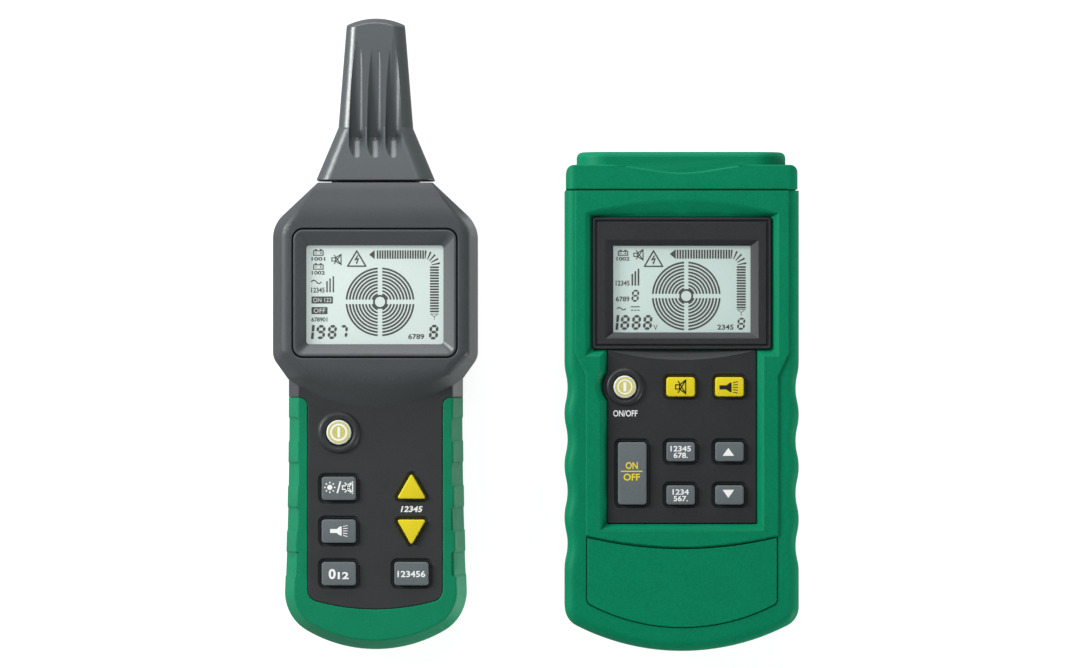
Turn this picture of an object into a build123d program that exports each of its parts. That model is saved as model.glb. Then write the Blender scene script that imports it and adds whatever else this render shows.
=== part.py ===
# Cable tracker set: a hand-held receiver and a transmitter, side by side on their backs.
# Each unit is drawn on its own plane: x from its centre line, y from its lower end, z from its back.
import os
from math import sqrt

from build123d import *

os.makedirs("parts", exist_ok=True)

# Fits shared by both units
unit_gap = 33.3
fit = 0.15
ledge_gap = 0.5
plug_r = 3.3
post_r = 1.8
board_t = 1.6

# Keys shared by both units
key_gap = 0.4
key_travel = 1.0
press_gap = 0.4
lip_gap = 0.4
key_lip = 0.8
key_lip_t = 0.8
key_proud = 1.8
key_corner_r = 1.1
key_edge = 0.4
arrow_corner_r = 0.6
moat_w = 1.2
moat_d = 1.0
moat_edge = 0.3
mat_t = 1.5
ring_h = 1.3

# Display shared by both units
display_w = 52.2
display_r = 1.2
glass_t = 2.6
glass_border = 2.9
window_t = 1.1
window_lap = 1.1
funnel_foot = 0.4

# Doors, screws and small fittings shared by both units
door_t = 2.0
door_gap = 0.2
door_r = 2.4
tongue_w = 8.0
tongue_x = 15.0
tongue_len = 2.0
tongue_t = 1.0
rib_count = 5
rib_pitch = 2.6
rib_len = 16.0
rib_w = 1.3
rib_d = 0.5
rib_drop = 4.0
screw_r = 1.25
screw_head_r = 2.4
screw_head_h = 1.8
screw_sink = 4.0
screw_len = 24.0
screw_land = 0.4
door_screw_len = 8.0
lamp_r = 3.2
lamp_len = 7.0
lamp_hole = 9.0
lamp_edge = 0.8
buzzer_r = 6.5
buzzer_h = 4.5

# Receiver: cells, which lie across the grip
cell_r = 5.25
cell_len = 44.5
cell_count = 6
cell_space = 0.5
cell_nub_r = 1.9
cell_nub = 1.0
contact_t = 0.5
rx_bay_y = 28.0
rx_bay_roof = 1.5
rx_door_y = 21.5
rx_door_lap = 1.0
cell_pitch = 2 * cell_r + cell_space

# Receiver: display and the head round it
rx_display_h = 37.6
rx_funnel_w = 4.9
rx_funnel_h = 5.35
rx_display_drop = 0.65
rx_bezel_r = 3.7
rx_bezel_gap = 0.6
rx_bezel_lip = 0.7
rx_bezel_sink = 0.2
rx_bezel_t = 4.5
chin_len = 15.5
crown_len = 18.0
cheek_w = 8.0
rx_bezel_w = display_w + 2 * rx_funnel_w
rx_bezel_h = rx_display_h + 2 * rx_funnel_h
rx_width = rx_bezel_w + 2 * cheek_w

# Receiver: stations along its length
rx_handle_len = 96.5
nose_seam = 0.9
skirt_len = 20.2
probe_len = 42.1
rx_head_len = chin_len + rx_bezel_h + crown_len
rx_head_y = rx_handle_len + rx_head_len
nose_y = rx_head_y + nose_seam
nose_step_y = nose_y + skirt_len
rx_length = nose_step_y + probe_len

# Receiver: heights
rx_depth = 38.5
rx_panel_drop = 7.5
rx_panel_t = 2.6
rx_split_z = 18.0
rx_side_lo = 8.0
rx_side_drop = 9.0
rx_panel_z = rx_depth - rx_panel_drop
rx_side_hi = rx_panel_z - rx_side_drop

# Receiver: grip section and its boot
face_border = 3.4
boot_side = 8.15
boot_flare = 1.3
boot_nip = 0.5
rx_waist_y = 52.0
rx_end_r = 52.0
rx_end_corner_r = 17.0
rx_front_inset = 3.7
rx_back_inset = 5.0
boot_t = 2.4
boot_tip_r = 3.3
rim_edge = 0.4
face_end_y = 15.7
face_end_r = 85.0
face_corner_r = 4.5
pocket_first_y = 32.8
pocket_pitch = 17.1
pocket_count = 4
pocket_h = 9.6
pocket_land = 3.45
pocket_d = 0.7
pocket_r = 1.2
rx_cavity_end_y = 17.0
face_w = cell_len + 2 * face_border
rx_waist_w = face_w + 2 * boot_side
rx_end_w = rx_waist_w + 2 * boot_flare
rx_neck_w = rx_waist_w - 2 * boot_nip
pocket_inner_x = face_w / 2 + pocket_land

# Receiver: head, its silhouette and the smaller front face
head_top_w = 44.0
shoulder_drop = 16.0
jaw_rise = 15.0
chin_rise = 6.9
chin_bow = 3.6
chin_nip = 0.1
shoulder_r = 12.0
jaw_r = 7.0
cheek_inset = 3.3
crown_inset = 1.3
front_fall = 1.1
front_jaw_rise = 1.5
front_chin_inset = 5.7
front_chin_rise = 1.5
front_chin_bow = 2.8
flat_border = 1.3
flat_crown_inset = 3.5
flat_jaw_rise = 2.1
flat_chin_inset = 6.2
flat_chin_rise = 5.5
flat_chin_bow = 1.6
flat_round = 5.5
round_lo = 0.86
round_hi = 0.22
head_back_inset = 2.8
head_back_z = 5.0
head_wall = 9.0
head_floor = 3.0
head_top_wall = 12.3
crease_r = 0.9
crown_roll = 14.3
crown_drop = 4.0
rx_screw_rise = 8.5
rx_buzzer_rise = 23.5
rx_lamp_z = 9.5
chin_w = rx_neck_w - 2 * chin_nip

# Receiver: keys
rx_column_inset = 11.8
rx_key_w = 13.0
rx_key_h = 8.9
rx_power_d = 9.4
rx_power_y = 83.1
rx_row_light_y = 61.7
rx_row_torch_y = 45.4
rx_row_end_y = 29.2
arrow_w = 11.1
arrow_h = 9.75
rx_up_y = 62.65
rx_down_y = 44.9
rx_ring_d = 16.2
rx_ring_crest_d = 13.0
rx_left_x = rx_column_inset - face_w / 2
rx_right_x = face_w / 2 - rx_column_inset

# Receiver: antenna nose
rod_r = 4.0
rod_len = 66.0
rod_inner = 10.3
coil_t = 1.8
coil_len = 28.0
coil_rise = 22.0
coil_space = 0.8
spigot_inset = 5.2
spigot_wall = 4.8
spigot_len = 7.5
skirt_flare = 0.7
skirt_t = 30.0
skirt_r = 7.0
skirt_top_t = 25.6
probe_w = 28.4
probe_t = 23.4
probe_r = 6.0
tip_w = 21.8
tip_t = 19.0
tip_r = 5.0
tip_dome_r = 25.0
tip_edge = 0.8
nose_edge = 0.4
flute_r = 3.1
flute_pitch = 6.95
flute_count = 3
flute_d = 2.9
flute_end = 8.5
flute_bend = 3.6
flute_slope = 0.78
nose_bore_end = 5.5
nose_z = rx_split_z
coil_r = rod_r + coil_t
nose_bore_r = coil_r + coil_space
skirt_w = head_top_w + 2 * skirt_flare
spigot_w = head_top_w - 2 * spigot_inset
spigot_t = 2 * rod_r + 2 * spigot_wall

# Transmitter: stations along its length
tx_case_len = 175.1
cap_seam = 0.4
cap_len = 9.4
collar_len = 5.1
tx_cap_y = tx_case_len + cap_seam
tx_shoulder_y = tx_cap_y + cap_len
tx_length = tx_shoulder_y + collar_len

# Transmitter: display and its bezel
tx_display_h = 32.9
tx_bezel_side = 7.8
tx_bezel_top = 10.8
tx_bezel_foot = 6.3
tx_bezel_drop = 10.2
tx_bezel_r = 1.0
tx_bezel_t = 3.6
tx_bezel_sink = 1.7
tx_rim_w = 0.9
tx_rim_groove_w = 0.9
tx_rim_groove_d = 1.0
tx_slope_w = 2.9
tx_slope_h = 2.2
tx_bezel_w = display_w + 2 * tx_bezel_side
tx_bezel_hi = tx_case_len - tx_bezel_drop
tx_bezel_lo = tx_bezel_hi - tx_bezel_top - tx_display_h - tx_bezel_foot
tx_display_y = tx_bezel_lo + tx_bezel_foot + tx_display_h / 2

# Transmitter: case
tx_depth = 42.5
tx_side_w = 10.6
tx_end_r = 88.0
tx_end_corner_r = 8.0
grip_first_y = 30.0
grip_pitch = 20.0
grip_count = 4
grip_d = 1.2
tx_edge_r = 4.2
tx_back_r = 4.0
plate_step = 0.9
plate_edge = 0.5
plate_inset = 3.9
plate_inset_low = 8.0
plate_bend_drop = 1.5
plate_bend_len = 8.7
seam_y = 43.9
seam_bow = 4.3
tx_wall = 10.0
tx_floor = 3.0
tx_roof_t = 7.5
tx_low_wall = 13.5
tx_cavity_end_y = 12.0
tx_end_wall = 7.1
tx_screw_lo = 34.0
tx_screw_drop = 23.1
tx_width = tx_bezel_w + 2 * tx_side_w
tx_roof_z = tx_depth - tx_roof_t
plate_bend_hi = tx_bezel_lo - plate_bend_drop
plate_bend_lo = plate_bend_hi - plate_bend_len

# Transmitter: recess and key panel
bevel_w = 2.2
recess_d = 3.1
recess_edge = 0.4
brow_edge = 1.1
brow_rise = 5.7
tx_panel_gap = 0.3
tx_panel_inset = 5.6
tx_panel_seam = 0.4
tx_panel_rise = 4.7
tx_panel_sink = 2.9
tx_panel_t = 2.8
tx_panel_ledge = 2.0
tx_panel_edge = 0.4
brow_band = 3.6
brow_band_d = 0.9
boss_rim = 1.2
tx_post_side = 0.3
tx_post_lo_rise = 5.4
tx_post_hi_drop = 4.5
tx_panel_w = tx_bezel_w - 2 * tx_panel_inset
tx_panel_lo = seam_y + tx_panel_rise
tx_panel_hi = tx_bezel_lo - tx_panel_seam
recess_z = tx_depth - recess_d
tx_panel_z = tx_depth - tx_panel_sink

# Transmitter: keys
tx_power_inset = 6.6
tx_start_inset = 9.4
tx_right_inset = 10.25
tx_col_mid = -0.5
tx_row_top_drop = 14.0
tx_row_up_drop = 38.65
tx_row_down_drop = 55.1
tx_key_w = 10.8
tx_key_h = 7.3
tx_start_h = 23.7
tx_power_d = 8.55
tx_ring_d = 14.4
tx_ring_crest_d = 11.0
tx_col_power = tx_power_inset - tx_panel_w / 2
tx_col_start = tx_start_inset - tx_panel_w / 2
tx_col_right = tx_panel_w / 2 - tx_right_inset
tx_row_top = tx_panel_hi - tx_row_top_drop
tx_row_up = tx_panel_hi - tx_row_up_drop
tx_row_down = tx_panel_hi - tx_row_down_drop
boss_r = tx_ring_d / 2 + boss_rim

# Transmitter: lower front panel
low_side = 8.5
low_gap = 0.35
low_end_y = 9.2
low_end_r = 75.0
low_corner_r = 2.5
low_t = 3.2
low_proud = 0.5
low_w = tx_width - 2 * low_side

# Transmitter: cap, collar and sockets
cap_inset = 0.5
cap_corner_r = 3.0
cap_edge_r = 3.6
cap_dip = 3.0
cap_dip_half = 27.0
cap_dip_slope = 0.05
cap_rim = 0.5
collar_inset = 4.6
collar_drop = 6.0
collar_r = 12.0
collar_edge_r = 2.2
plug_inset = 6.9
plug_drop = 3.0
plug_len = 6.0
socket_x = 14.0
contact_bore_r = 2.0
contact_t_wall = 0.9
contact_len = 21.0
contact_bore_len = 18.0
sleeve_space = 1.5
sleeve_t = 1.8
sleeve_len = 25.0
sleeve_floor = 3.0
tx_lamp_x = 30.0
cap_w = tx_width - 2 * cap_inset
cap_z_lo = cap_inset
cap_z_hi = tx_depth - cap_inset
collar_w = tx_width - 2 * collar_inset
collar_t = cap_z_hi - 2 * collar_drop
collar_z = cap_z_hi / 2
plug_w = collar_w - 2 * plug_inset
plug_t = collar_t - 2 * plug_drop
contact_r = contact_bore_r + contact_t_wall
sleeve_bore_r = contact_r + sleeve_space
sleeve_r = sleeve_bore_r + sleeve_t

# Transmitter: battery and board
battery_len = 48.5
battery_h = 26.5
battery_t = 17.5
battery_gap = 0.4
snap_t = 3.0
stud_r = 3.0
stud_len = 2.5
stud_pitch = 12.7
tx_bay_y = 22.0
tx_bay_roof = 1.7
tx_bay_end = 4.7
tx_door_lap = 2.0
tx_door_tab = 9.0
tx_board_drop = 9.0
tx_board_end = 3.0
tx_board_top_gap = 8.0
tx_buzzer_y = 80.0
tx_board_z = tx_roof_z - tx_board_drop
tx_bay_z = door_t + battery_t + 2 * battery_gap
tx_split_z = tx_bay_z + tx_bay_roof

# Where the units lie
set_width = rx_width + unit_gap + tx_width
RX = Plane((rx_width / 2 - set_width / 2, -rx_length / 2, 0))
TX = Plane((set_width / 2 - tx_width / 2, -rx_length / 2, 0))


def finish(piece, name):
    """Labels a finished piece and writes it to its own file."""
    piece.part.label = name
    export_step(piece.part, f"parts/{name}.step")


def across(unit, y, z):
    """Plane across a unit at y, facing its far end, centred at height z."""
    return Plane(unit.origin + Vector(0, y, z), x_dir=(1, 0, 0), z_dir=(0, 1, 0))


def upright(unit, x, y, z):
    """Plane standing at a point of a unit, with its own y upwards."""
    return Plane(unit.origin + Vector(x, y, z), x_dir=(1, 0, 0), z_dir=(0, -1, 0))


def span(half_w, y_lo, y_hi, corner=0.0):
    """Rectangle about the centre line from y_lo to y_hi, for the sketch it is called in."""
    with Locations((0, (y_lo + y_hi) / 2)):
        if corner:
            RectangleRounded(2 * half_w, y_hi - y_lo, corner)
        else:
            Rectangle(2 * half_w, y_hi - y_lo)


def plate(unit, name, half_w, y_lo, y_hi, z_lo, thick, corner=0.0):
    """A flat piece about the centre line."""
    with BuildPart() as piece:
        with BuildSketch(unit.offset(z_lo)):
            span(half_w, y_lo, y_hi, corner)
        extrude(amount=thick)
    finish(piece, name)


def key_outline(kind, x, y, width, height, grow=0.0):
    """Outline of a key cap, or of its lip or hole when grown all round."""
    with BuildSketch() as outline:
        with Locations((x, y)):
            if kind == "round":
                Circle(width / 2 + grow)
            elif kind == "oblong":
                RectangleRounded(width + 2 * grow, height + 2 * grow, key_corner_r + grow)
            else:
                Polygon(
                    (-width / 2, -height / 2),
                    (width / 2, -height / 2),
                    (0, height / 2),
                    rotation=0 if kind == "up" else 180,
                    align=(Align.CENTER, Align.CENTER),
                )
        if kind in ("up", "down"):
            fillet(outline.vertices(), arrow_corner_r)
            if grow:
                offset(amount=grow)
    return outline.sketch


def make_key(unit, name, shape, foot_z, lip_z, top_z):
    """A key cap with the lip that keeps it under its panel."""
    with BuildPart() as key:
        with BuildSketch(unit.offset(lip_z)):
            add(key_outline(*shape, grow=key_lip))
        extrude(amount=key_lip_t)
        with BuildSketch(unit.offset(foot_z)):
            add(key_outline(*shape))
        extrude(amount=top_z - foot_z)
        chamfer(key.faces().sort_by(Axis.Z)[-1].edges(), key_edge)
    finish(key, name)


def cut_key_holes(unit, keys, panel_z, panel_t):
    """Cuts the holes for the keys, with a shallow moat round all but the power key."""
    for shape in keys.values():
        with BuildSketch(unit.offset(panel_z - panel_t)) as hole:
            add(key_outline(*shape, grow=key_gap))
        extrude(hole.sketch, amount=panel_t + ring_h, mode=Mode.SUBTRACT)
        if shape[0] != "round":
            with BuildSketch(unit.offset(panel_z - moat_d)) as moat:
                add(key_outline(*shape, grow=moat_w))
            extrude(moat.sketch, amount=moat_d, mode=Mode.SUBTRACT)
            with BuildSketch(unit.offset(panel_z - moat_edge)) as rim:
                add(key_outline(*shape, grow=moat_w))
            extrude(rim.sketch, amount=moat_edge, taper=-45, mode=Mode.SUBTRACT)


def add_power_ring(unit, shape, ring_d, crest_d, panel_z):
    """Raises the rounded ring round a power key."""
    _, x, y, width, _ = shape
    hole_r = width / 2 + key_gap
    with BuildSketch(upright(unit, x, y, panel_z)) as section:
        with BuildLine():
            ThreePointArc((ring_d / 2, 0), (crest_d / 2, ring_h), (hole_r, 0))
            Polyline((hole_r, 0), (hole_r, -moat_d), (ring_d / 2, -moat_d), (ring_d / 2, 0))
        make_face()
    revolve(section.sketch, axis=Axis(unit.origin + Vector(x, y, 0), (0, 0, 1)))


def make_case_screws(unit, name, spots):
    """The case screws, driven up from the back."""
    with BuildPart() as screws:
        with BuildSketch(unit.offset(screw_sink - screw_head_h)):
            with Locations(*spots):
                Circle(screw_head_r)
        extrude(amount=screw_head_h)
        with BuildSketch(unit.offset(screw_sink)):
            with Locations(*spots):
                Circle(screw_r)
        extrude(amount=screw_len)
    finish(screws, name)


def cut_case_screw_holes(unit, spots):
    """Sinks the case screws into the back and their holes into both halves."""
    with BuildSketch(unit) as heads:
        with Locations(*spots):
            Circle(screw_head_r + fit)
    extrude(heads.sketch, amount=screw_sink, mode=Mode.SUBTRACT)
    with BuildSketch(unit) as shanks:
        with Locations(*spots):
            Circle(screw_r + fit)
    extrude(shanks.sketch, amount=screw_sink + screw_len + fit, mode=Mode.SUBTRACT)


def make_battery_door(unit, name, half_w, y_lo, y_hi, screw_y):
    """A flat battery door with its countersunk screw hole."""
    with BuildPart() as door:
        with BuildSketch(unit):
            span(half_w, y_lo, y_hi, door_r)
        extrude(amount=door_t)
        with BuildSketch(unit.offset(door_t - tongue_t)):
            with Locations((-tongue_x, y_hi), (tongue_x, y_hi)):
                Rectangle(tongue_w, 2 * tongue_len)
        extrude(amount=tongue_t)
        with Locations(Plane(unit.origin + Vector(0, screw_y, 0), z_dir=(0, 0, -1))):
            CounterSinkHole(screw_r + fit, screw_head_r + fit, door_t)
        # Thumb grooves across the outside
        with BuildSketch(unit) as grooves:
            for index in range(rib_count):
                with Locations((0, y_hi - rib_drop - index * rib_pitch)):
                    SlotOverall(rib_len, rib_w)
        extrude(grooves.sketch, amount=rib_d, mode=Mode.SUBTRACT)
    finish(door, name)


def cut_door_rebate(unit, half_w, y_lo, y_hi, screw_y):
    """Cuts the rebate, tongue slots and screw hole of a battery door."""
    with BuildSketch(unit) as rebate:
        span(half_w + door_gap, y_lo - door_gap, y_hi + door_gap, door_r + door_gap)
    extrude(rebate.sketch, amount=door_t, mode=Mode.SUBTRACT)
    with BuildSketch(unit.offset(door_t - tongue_t - fit)) as slots:
        with Locations((-tongue_x, y_hi), (tongue_x, y_hi)):
            Rectangle(tongue_w + 2 * fit, 2 * tongue_len + 2 * fit)
    extrude(slots.sketch, amount=tongue_t + 2 * fit, mode=Mode.SUBTRACT)
    with BuildSketch(unit) as pilot:
        with Locations((0, screw_y)):
            Circle(screw_r + fit)
    extrude(pilot.sketch, amount=door_screw_len + fit, mode=Mode.SUBTRACT)


def make_door_screw(unit, name, screw_y):
    """The countersunk screw that holds a battery door."""
    with BuildPart() as screw:
        with BuildSketch(upright(unit, 0, screw_y, 0)):
            with BuildLine():
                Polyline(
                    (0, fit),
                    (screw_head_r - fit, fit),
                    (screw_r, screw_head_r - screw_r),
                    (screw_r, door_screw_len),
                    (0, door_screw_len),
                    close=True,
                )
            make_face()
        revolve(axis=Axis(unit.origin + Vector(0, screw_y, 0), (0, 0, 1)))
    finish(screw, name)


# Receiver: outlines
rx_shoulder_y = rx_head_y - shoulder_drop
rx_jaw_y = rx_handle_len + jaw_rise
rx_chin_y = rx_handle_len + chin_rise
rx_chin_mid_y = rx_handle_len - chin_bow


def handle_outline(inset):
    """Outline of the grip section, drawn in by inset at its sides and end."""
    radius = rx_end_r - inset
    half = rx_end_w / 2 - inset
    waist = rx_waist_w / 2 - inset
    neck = rx_neck_w / 2 - inset
    corner_y = rx_end_r - sqrt(radius**2 - half**2)
    with BuildSketch() as outline:
        with BuildLine():
            ThreePointArc((-half, corner_y), (0, inset), (half, corner_y))
            ThreePointArc((half, corner_y), (waist, rx_waist_y), (neck, rx_jaw_y))
            Line((neck, rx_jaw_y), (-neck, rx_jaw_y))
            ThreePointArc((-neck, rx_jaw_y), (-waist, rx_waist_y), (-half, corner_y))
        make_face()
        fillet(outline.vertices().group_by(Axis.Y)[0], rx_end_corner_r - inset)
    return outline.sketch


def handle_form(inset, z_lo, z_hi, crease=0.0):
    """Solid of the grip section, with sloping front and back edges and a rounded front crease."""
    with BuildPart() as form:
        for z, slope in (
            (z_lo, rx_back_inset),
            (rx_side_lo, 0),
            (rx_side_hi, 0),
            (z_hi, rx_front_inset),
        ):
            with BuildSketch(RX.offset(z)):
                add(handle_outline(inset + slope))
        loft(ruled=True)
        if crease:
            fillet(form.faces().sort_by(Axis.Z)[-1].edges().sort_by(Axis.Y)[:-1], crease)
    return form.part


def face_plan(grow=0.0):
    """Plan of the case face that the boot leaves bare: the key panel and the neck above it."""
    half = face_w / 2
    side = rx_width / 2
    corner_y = face_end_y + face_end_r - sqrt(face_end_r**2 - half**2)
    with BuildSketch() as plan:
        with BuildLine():
            ThreePointArc((-half, corner_y), (0, face_end_y), (half, corner_y))
            Polyline(
                (half, corner_y),
                (half, rx_handle_len),
                (side, rx_handle_len),
                (side, rx_jaw_y),
                (-side, rx_jaw_y),
                (-side, rx_handle_len),
                (-half, rx_handle_len),
                (-half, corner_y),
            )
        make_face()
        fillet(plan.vertices().group_by(Axis.Y)[0], face_corner_r)
        inner = plan.vertices().filter_by_position(Axis.Y, rx_handle_len - fit, rx_handle_len + fit)
        fillet(inner.filter_by_position(Axis.X, -half - fit, half + fit), boot_tip_r)
        if grow:
            offset(amount=grow)
    return plan.sketch


def head_outline(half, top_half, shoulder_y, jaw_y, chin_half, chin_y, chin_mid_y, inset):
    """Outline of the head, with inset taken off its corner radii."""
    with BuildSketch() as outline:
        with BuildLine():
            Line((-top_half, rx_head_y), (top_half, rx_head_y))
            side = FilletPolyline(
                (top_half, rx_head_y),
                (half, shoulder_y),
                (half, jaw_y),
                (chin_half, chin_y),
                radius=[shoulder_r - inset, jaw_r - inset],
            )
            mirror(side, about=Plane.YZ)
            ThreePointArc((-chin_half, chin_y), (0, chin_mid_y), (chin_half, chin_y))
        make_face()
    return outline.sketch


def head_between(first, second, share):
    """Outline of the head part of the way from one list of sizes to another."""
    return head_outline(*[a + (b - a) * share for a, b in zip(first, second)])


head_widest = (
    rx_width / 2,
    head_top_w / 2,
    rx_shoulder_y,
    rx_jaw_y,
    chin_w / 2,
    rx_chin_y,
    rx_chin_mid_y,
    0,
)
head_front = (
    rx_width / 2 - cheek_inset,
    head_top_w / 2 - crown_inset,
    rx_shoulder_y - crown_inset,
    rx_jaw_y + front_jaw_rise,
    chin_w / 2 - front_chin_inset,
    rx_chin_y + front_chin_rise,
    rx_chin_y + front_chin_rise - front_chin_bow,
    cheek_inset,
)
head_flat = (
    rx_width / 2 - cheek_w + flat_border,
    head_top_w / 2 - flat_crown_inset,
    rx_shoulder_y - flat_border,
    rx_jaw_y + flat_jaw_rise,
    chin_w / 2 - flat_chin_inset,
    rx_chin_y + flat_chin_rise,
    rx_chin_y + flat_chin_rise - flat_chin_bow,
    flat_round,
)
head_back = (
    rx_width / 2 - head_back_inset,
    head_top_w / 2 - head_back_inset,
    rx_shoulder_y,
    rx_jaw_y,
    chin_w / 2 - head_back_inset,
    rx_chin_y,
    rx_chin_mid_y,
    head_back_inset,
)

rx_keys = {
    "power": ("round", rx_left_x, rx_power_y, rx_power_d, rx_power_d),
    "light": ("oblong", rx_left_x, rx_row_light_y, rx_key_w, rx_key_h),
    "torch": ("oblong", rx_left_x, rx_row_torch_y, rx_key_w, rx_key_h),
    "voltage": ("oblong", rx_left_x, rx_row_end_y, rx_key_w, rx_key_h),
    "up": ("up", rx_right_x, rx_up_y, arrow_w, arrow_h),
    "down": ("down", rx_right_x, rx_down_y, arrow_w, arrow_h),
    "mode": ("oblong", rx_right_x, rx_row_end_y, rx_key_w, rx_key_h),
}

# Receiver: places worked out from the sizes above
rx_cavity_half = rx_width / 2 - head_wall
rx_cavity_hi = rx_head_y - head_top_wall
rx_panel_under = rx_panel_z - rx_panel_t
rx_handle_half = face_w / 2 - boot_t / 4
rx_bezel_y = rx_handle_len + chin_len + rx_bezel_h / 2
rx_bezel_z = rx_depth - rx_bezel_sink
rx_bezel_seat_z = rx_bezel_z - rx_bezel_t
rx_display_y = rx_bezel_y - rx_display_drop
rx_glass_half = display_w / 2 + glass_border
rx_glass_lo = rx_display_y - rx_display_h / 2 - glass_border
rx_glass_hi = rx_display_y + rx_display_h / 2 + glass_border
rx_window_z = rx_bezel_seat_z + fit
rx_glass_z = rx_bezel_seat_z - fit - glass_t
rx_roof_z = rx_glass_z
rx_lip_z = rx_panel_under - lip_gap - key_lip_t
rx_board_top = rx_lip_z - key_travel - press_gap - mat_t
rx_board_z = rx_board_top - board_t
rx_bay_half = cell_len / 2 + contact_t + 2 * fit
rx_bay_hi = rx_bay_y + cell_count * cell_pitch + 2 * fit
rx_cell_z = door_t + fit + cell_r
rx_bay_z = rx_cell_z + cell_pitch / 2
rx_door_hi = rx_bay_hi + rx_door_lap
rx_door_half = rx_bay_half + rx_door_lap
rx_door_screw_y = (rx_door_y + rx_bay_y) / 2
rx_screw_spots = [
    (side * (rx_cavity_half + screw_head_r + screw_land), y)
    for side in (-1, 1)
    for y in (rx_jaw_y + rx_screw_rise, rx_shoulder_y - rx_screw_rise)
]
rx_post_x = rx_handle_half - post_r - fit
rx_post_spots = [
    (side * rx_post_x, y)
    for side in (-1, 1)
    for y in (rx_cavity_end_y + post_r + fit, (rx_power_y + rx_row_light_y) / 2)
]
shoulder_mid = Vector(
    (rx_width + head_top_w) / 4,
    (rx_head_y + rx_shoulder_y) / 2,
    rx_lamp_z,
)
shoulder_out = Vector(shoulder_drop, (rx_width - head_top_w) / 2, 0).normalized()
rx_lamp_plane = Plane(RX.origin + shoulder_mid, z_dir=shoulder_out)

# Receiver: whole case form, cut in two further on
with BuildPart() as rx_case:
    with BuildSketch(RX):
        add(face_plan())
    extrude(amount=rx_panel_z)
    add(handle_form(0, 0, rx_panel_z, crease=crease_r), mode=Mode.INTERSECT)
    fillet(rx_case.faces().sort_by(Axis.Z)[-1].edges().sort_by(Axis.Y)[:5], rim_edge)
    add(handle_form(boot_t + fit, boot_t + fit, rx_panel_z - boot_t - fit))
    with BuildSketch(RX):
        add(head_outline(*head_back))
    with BuildSketch(RX.offset(head_back_z)):
        add(head_outline(*head_widest))
    loft(ruled=True)
    with BuildSketch(RX.offset(head_back_z)):
        add(head_outline(*head_widest))
    extrude(amount=rx_panel_z - head_back_z)
    # Front of the head, sloping to a rounded edge and falling away a little round the bezel
    front_z = rx_depth - front_fall
    for z, first, second, share in (
        (rx_panel_z, head_widest, head_front, 0),
        (rx_panel_z + (front_z - rx_panel_z) * round_lo, head_widest, head_front, round_lo),
        (front_z + front_fall * round_hi, head_front, head_flat, round_hi),
        (rx_depth, head_front, head_flat, 1),
    ):
        with BuildSketch(RX.offset(z)):
            add(head_between(first, second, share))
    loft(ruled=True)
    # Crown rolling back towards the nose
    with BuildSketch(Plane(RX.origin, x_dir=(0, 1, 0), z_dir=(1, 0, 0))):
        with BuildLine():
            crown_y = rx_head_y - crown_roll
            TangentArc((crown_y, rx_depth), (rx_head_y, rx_depth - crown_drop), tangent=(1, 0))
            Polyline((crown_y, rx_depth), (rx_head_y, rx_depth), (rx_head_y, rx_depth - crown_drop))
        make_face()
    extrude(amount=rx_width, both=True, mode=Mode.SUBTRACT)
    with BuildSketch(across(RX, rx_head_y - fit, nose_z)):
        RectangleRounded(spigot_w, spigot_t, plug_r)
    extrude(amount=spigot_len + fit)
    # Inside of the head and of the grip
    with BuildSketch(RX.offset(head_floor)):
        span(rx_cavity_half, rx_jaw_y - head_wall, rx_cavity_hi)
    extrude(amount=rx_roof_z - head_floor, mode=Mode.SUBTRACT)
    with BuildSketch(RX.offset(rx_bay_z + rx_bay_roof)):
        span(rx_handle_half, rx_cavity_end_y, rx_jaw_y)
    extrude(amount=rx_panel_under - rx_bay_z - rx_bay_roof, mode=Mode.SUBTRACT)
    # Antenna rod bore
    with BuildSketch(across(RX, rx_cavity_hi - fit, nose_z)):
        Circle(rod_r + fit)
    extrude(amount=head_top_wall + spigot_len + 2 * fit, mode=Mode.SUBTRACT)
    cut_case_screw_holes(RX, rx_screw_spots)

with BuildPart() as rx_front_shell:
    add(rx_case.part)
    split(bisect_by=RX.offset(rx_split_z), keep=Keep.TOP)
    # Seat of the bezel and the opening under it
    with BuildSketch(RX.offset(rx_bezel_seat_z)):
        with Locations((0, rx_bezel_y)):
            RectangleRounded(
                rx_bezel_w + 2 * rx_bezel_gap,
                rx_bezel_h + 2 * rx_bezel_gap,
                rx_bezel_r + rx_bezel_gap,
            )
    extrude(amount=rx_depth - rx_bezel_seat_z, mode=Mode.SUBTRACT)
    fillet(rx_front_shell.faces().sort_by(Axis.Z)[-1].inner_wires().edges(), rim_edge)
    with BuildSketch(RX.offset(rx_roof_z)):
        span(rx_glass_half + ledge_gap, rx_glass_lo - ledge_gap, rx_glass_hi + ledge_gap)
    extrude(amount=rx_bezel_seat_z - rx_roof_z, mode=Mode.SUBTRACT)
    add_power_ring(RX, rx_keys["power"], rx_ring_d, rx_ring_crest_d, rx_panel_z)
    cut_key_holes(RX, rx_keys, rx_panel_z, rx_panel_t)
    with BuildSketch(RX.offset(rx_board_top)):
        with Locations(*rx_post_spots):
            Circle(post_r)
    extrude(amount=rx_panel_under - rx_board_top)
finish(rx_front_shell, "receiver_front_shell")

with BuildPart() as rx_rear_shell:
    add(rx_case.part)
    split(bisect_by=RX.offset(rx_split_z), keep=Keep.BOTTOM)
    # Battery bay and its door's rebate
    with BuildSketch(RX):
        span(rx_bay_half, rx_bay_y, rx_bay_hi)
    extrude(amount=rx_bay_z, mode=Mode.SUBTRACT)
    cut_door_rebate(RX, rx_door_half, rx_door_y, rx_door_hi, rx_door_screw_y)
    # Torch lamp hole in the shoulder
    with BuildSketch(rx_lamp_plane):
        Circle(lamp_r + fit)
    extrude(amount=-lamp_hole, mode=Mode.SUBTRACT)
finish(rx_rear_shell, "receiver_rear_shell")

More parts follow.
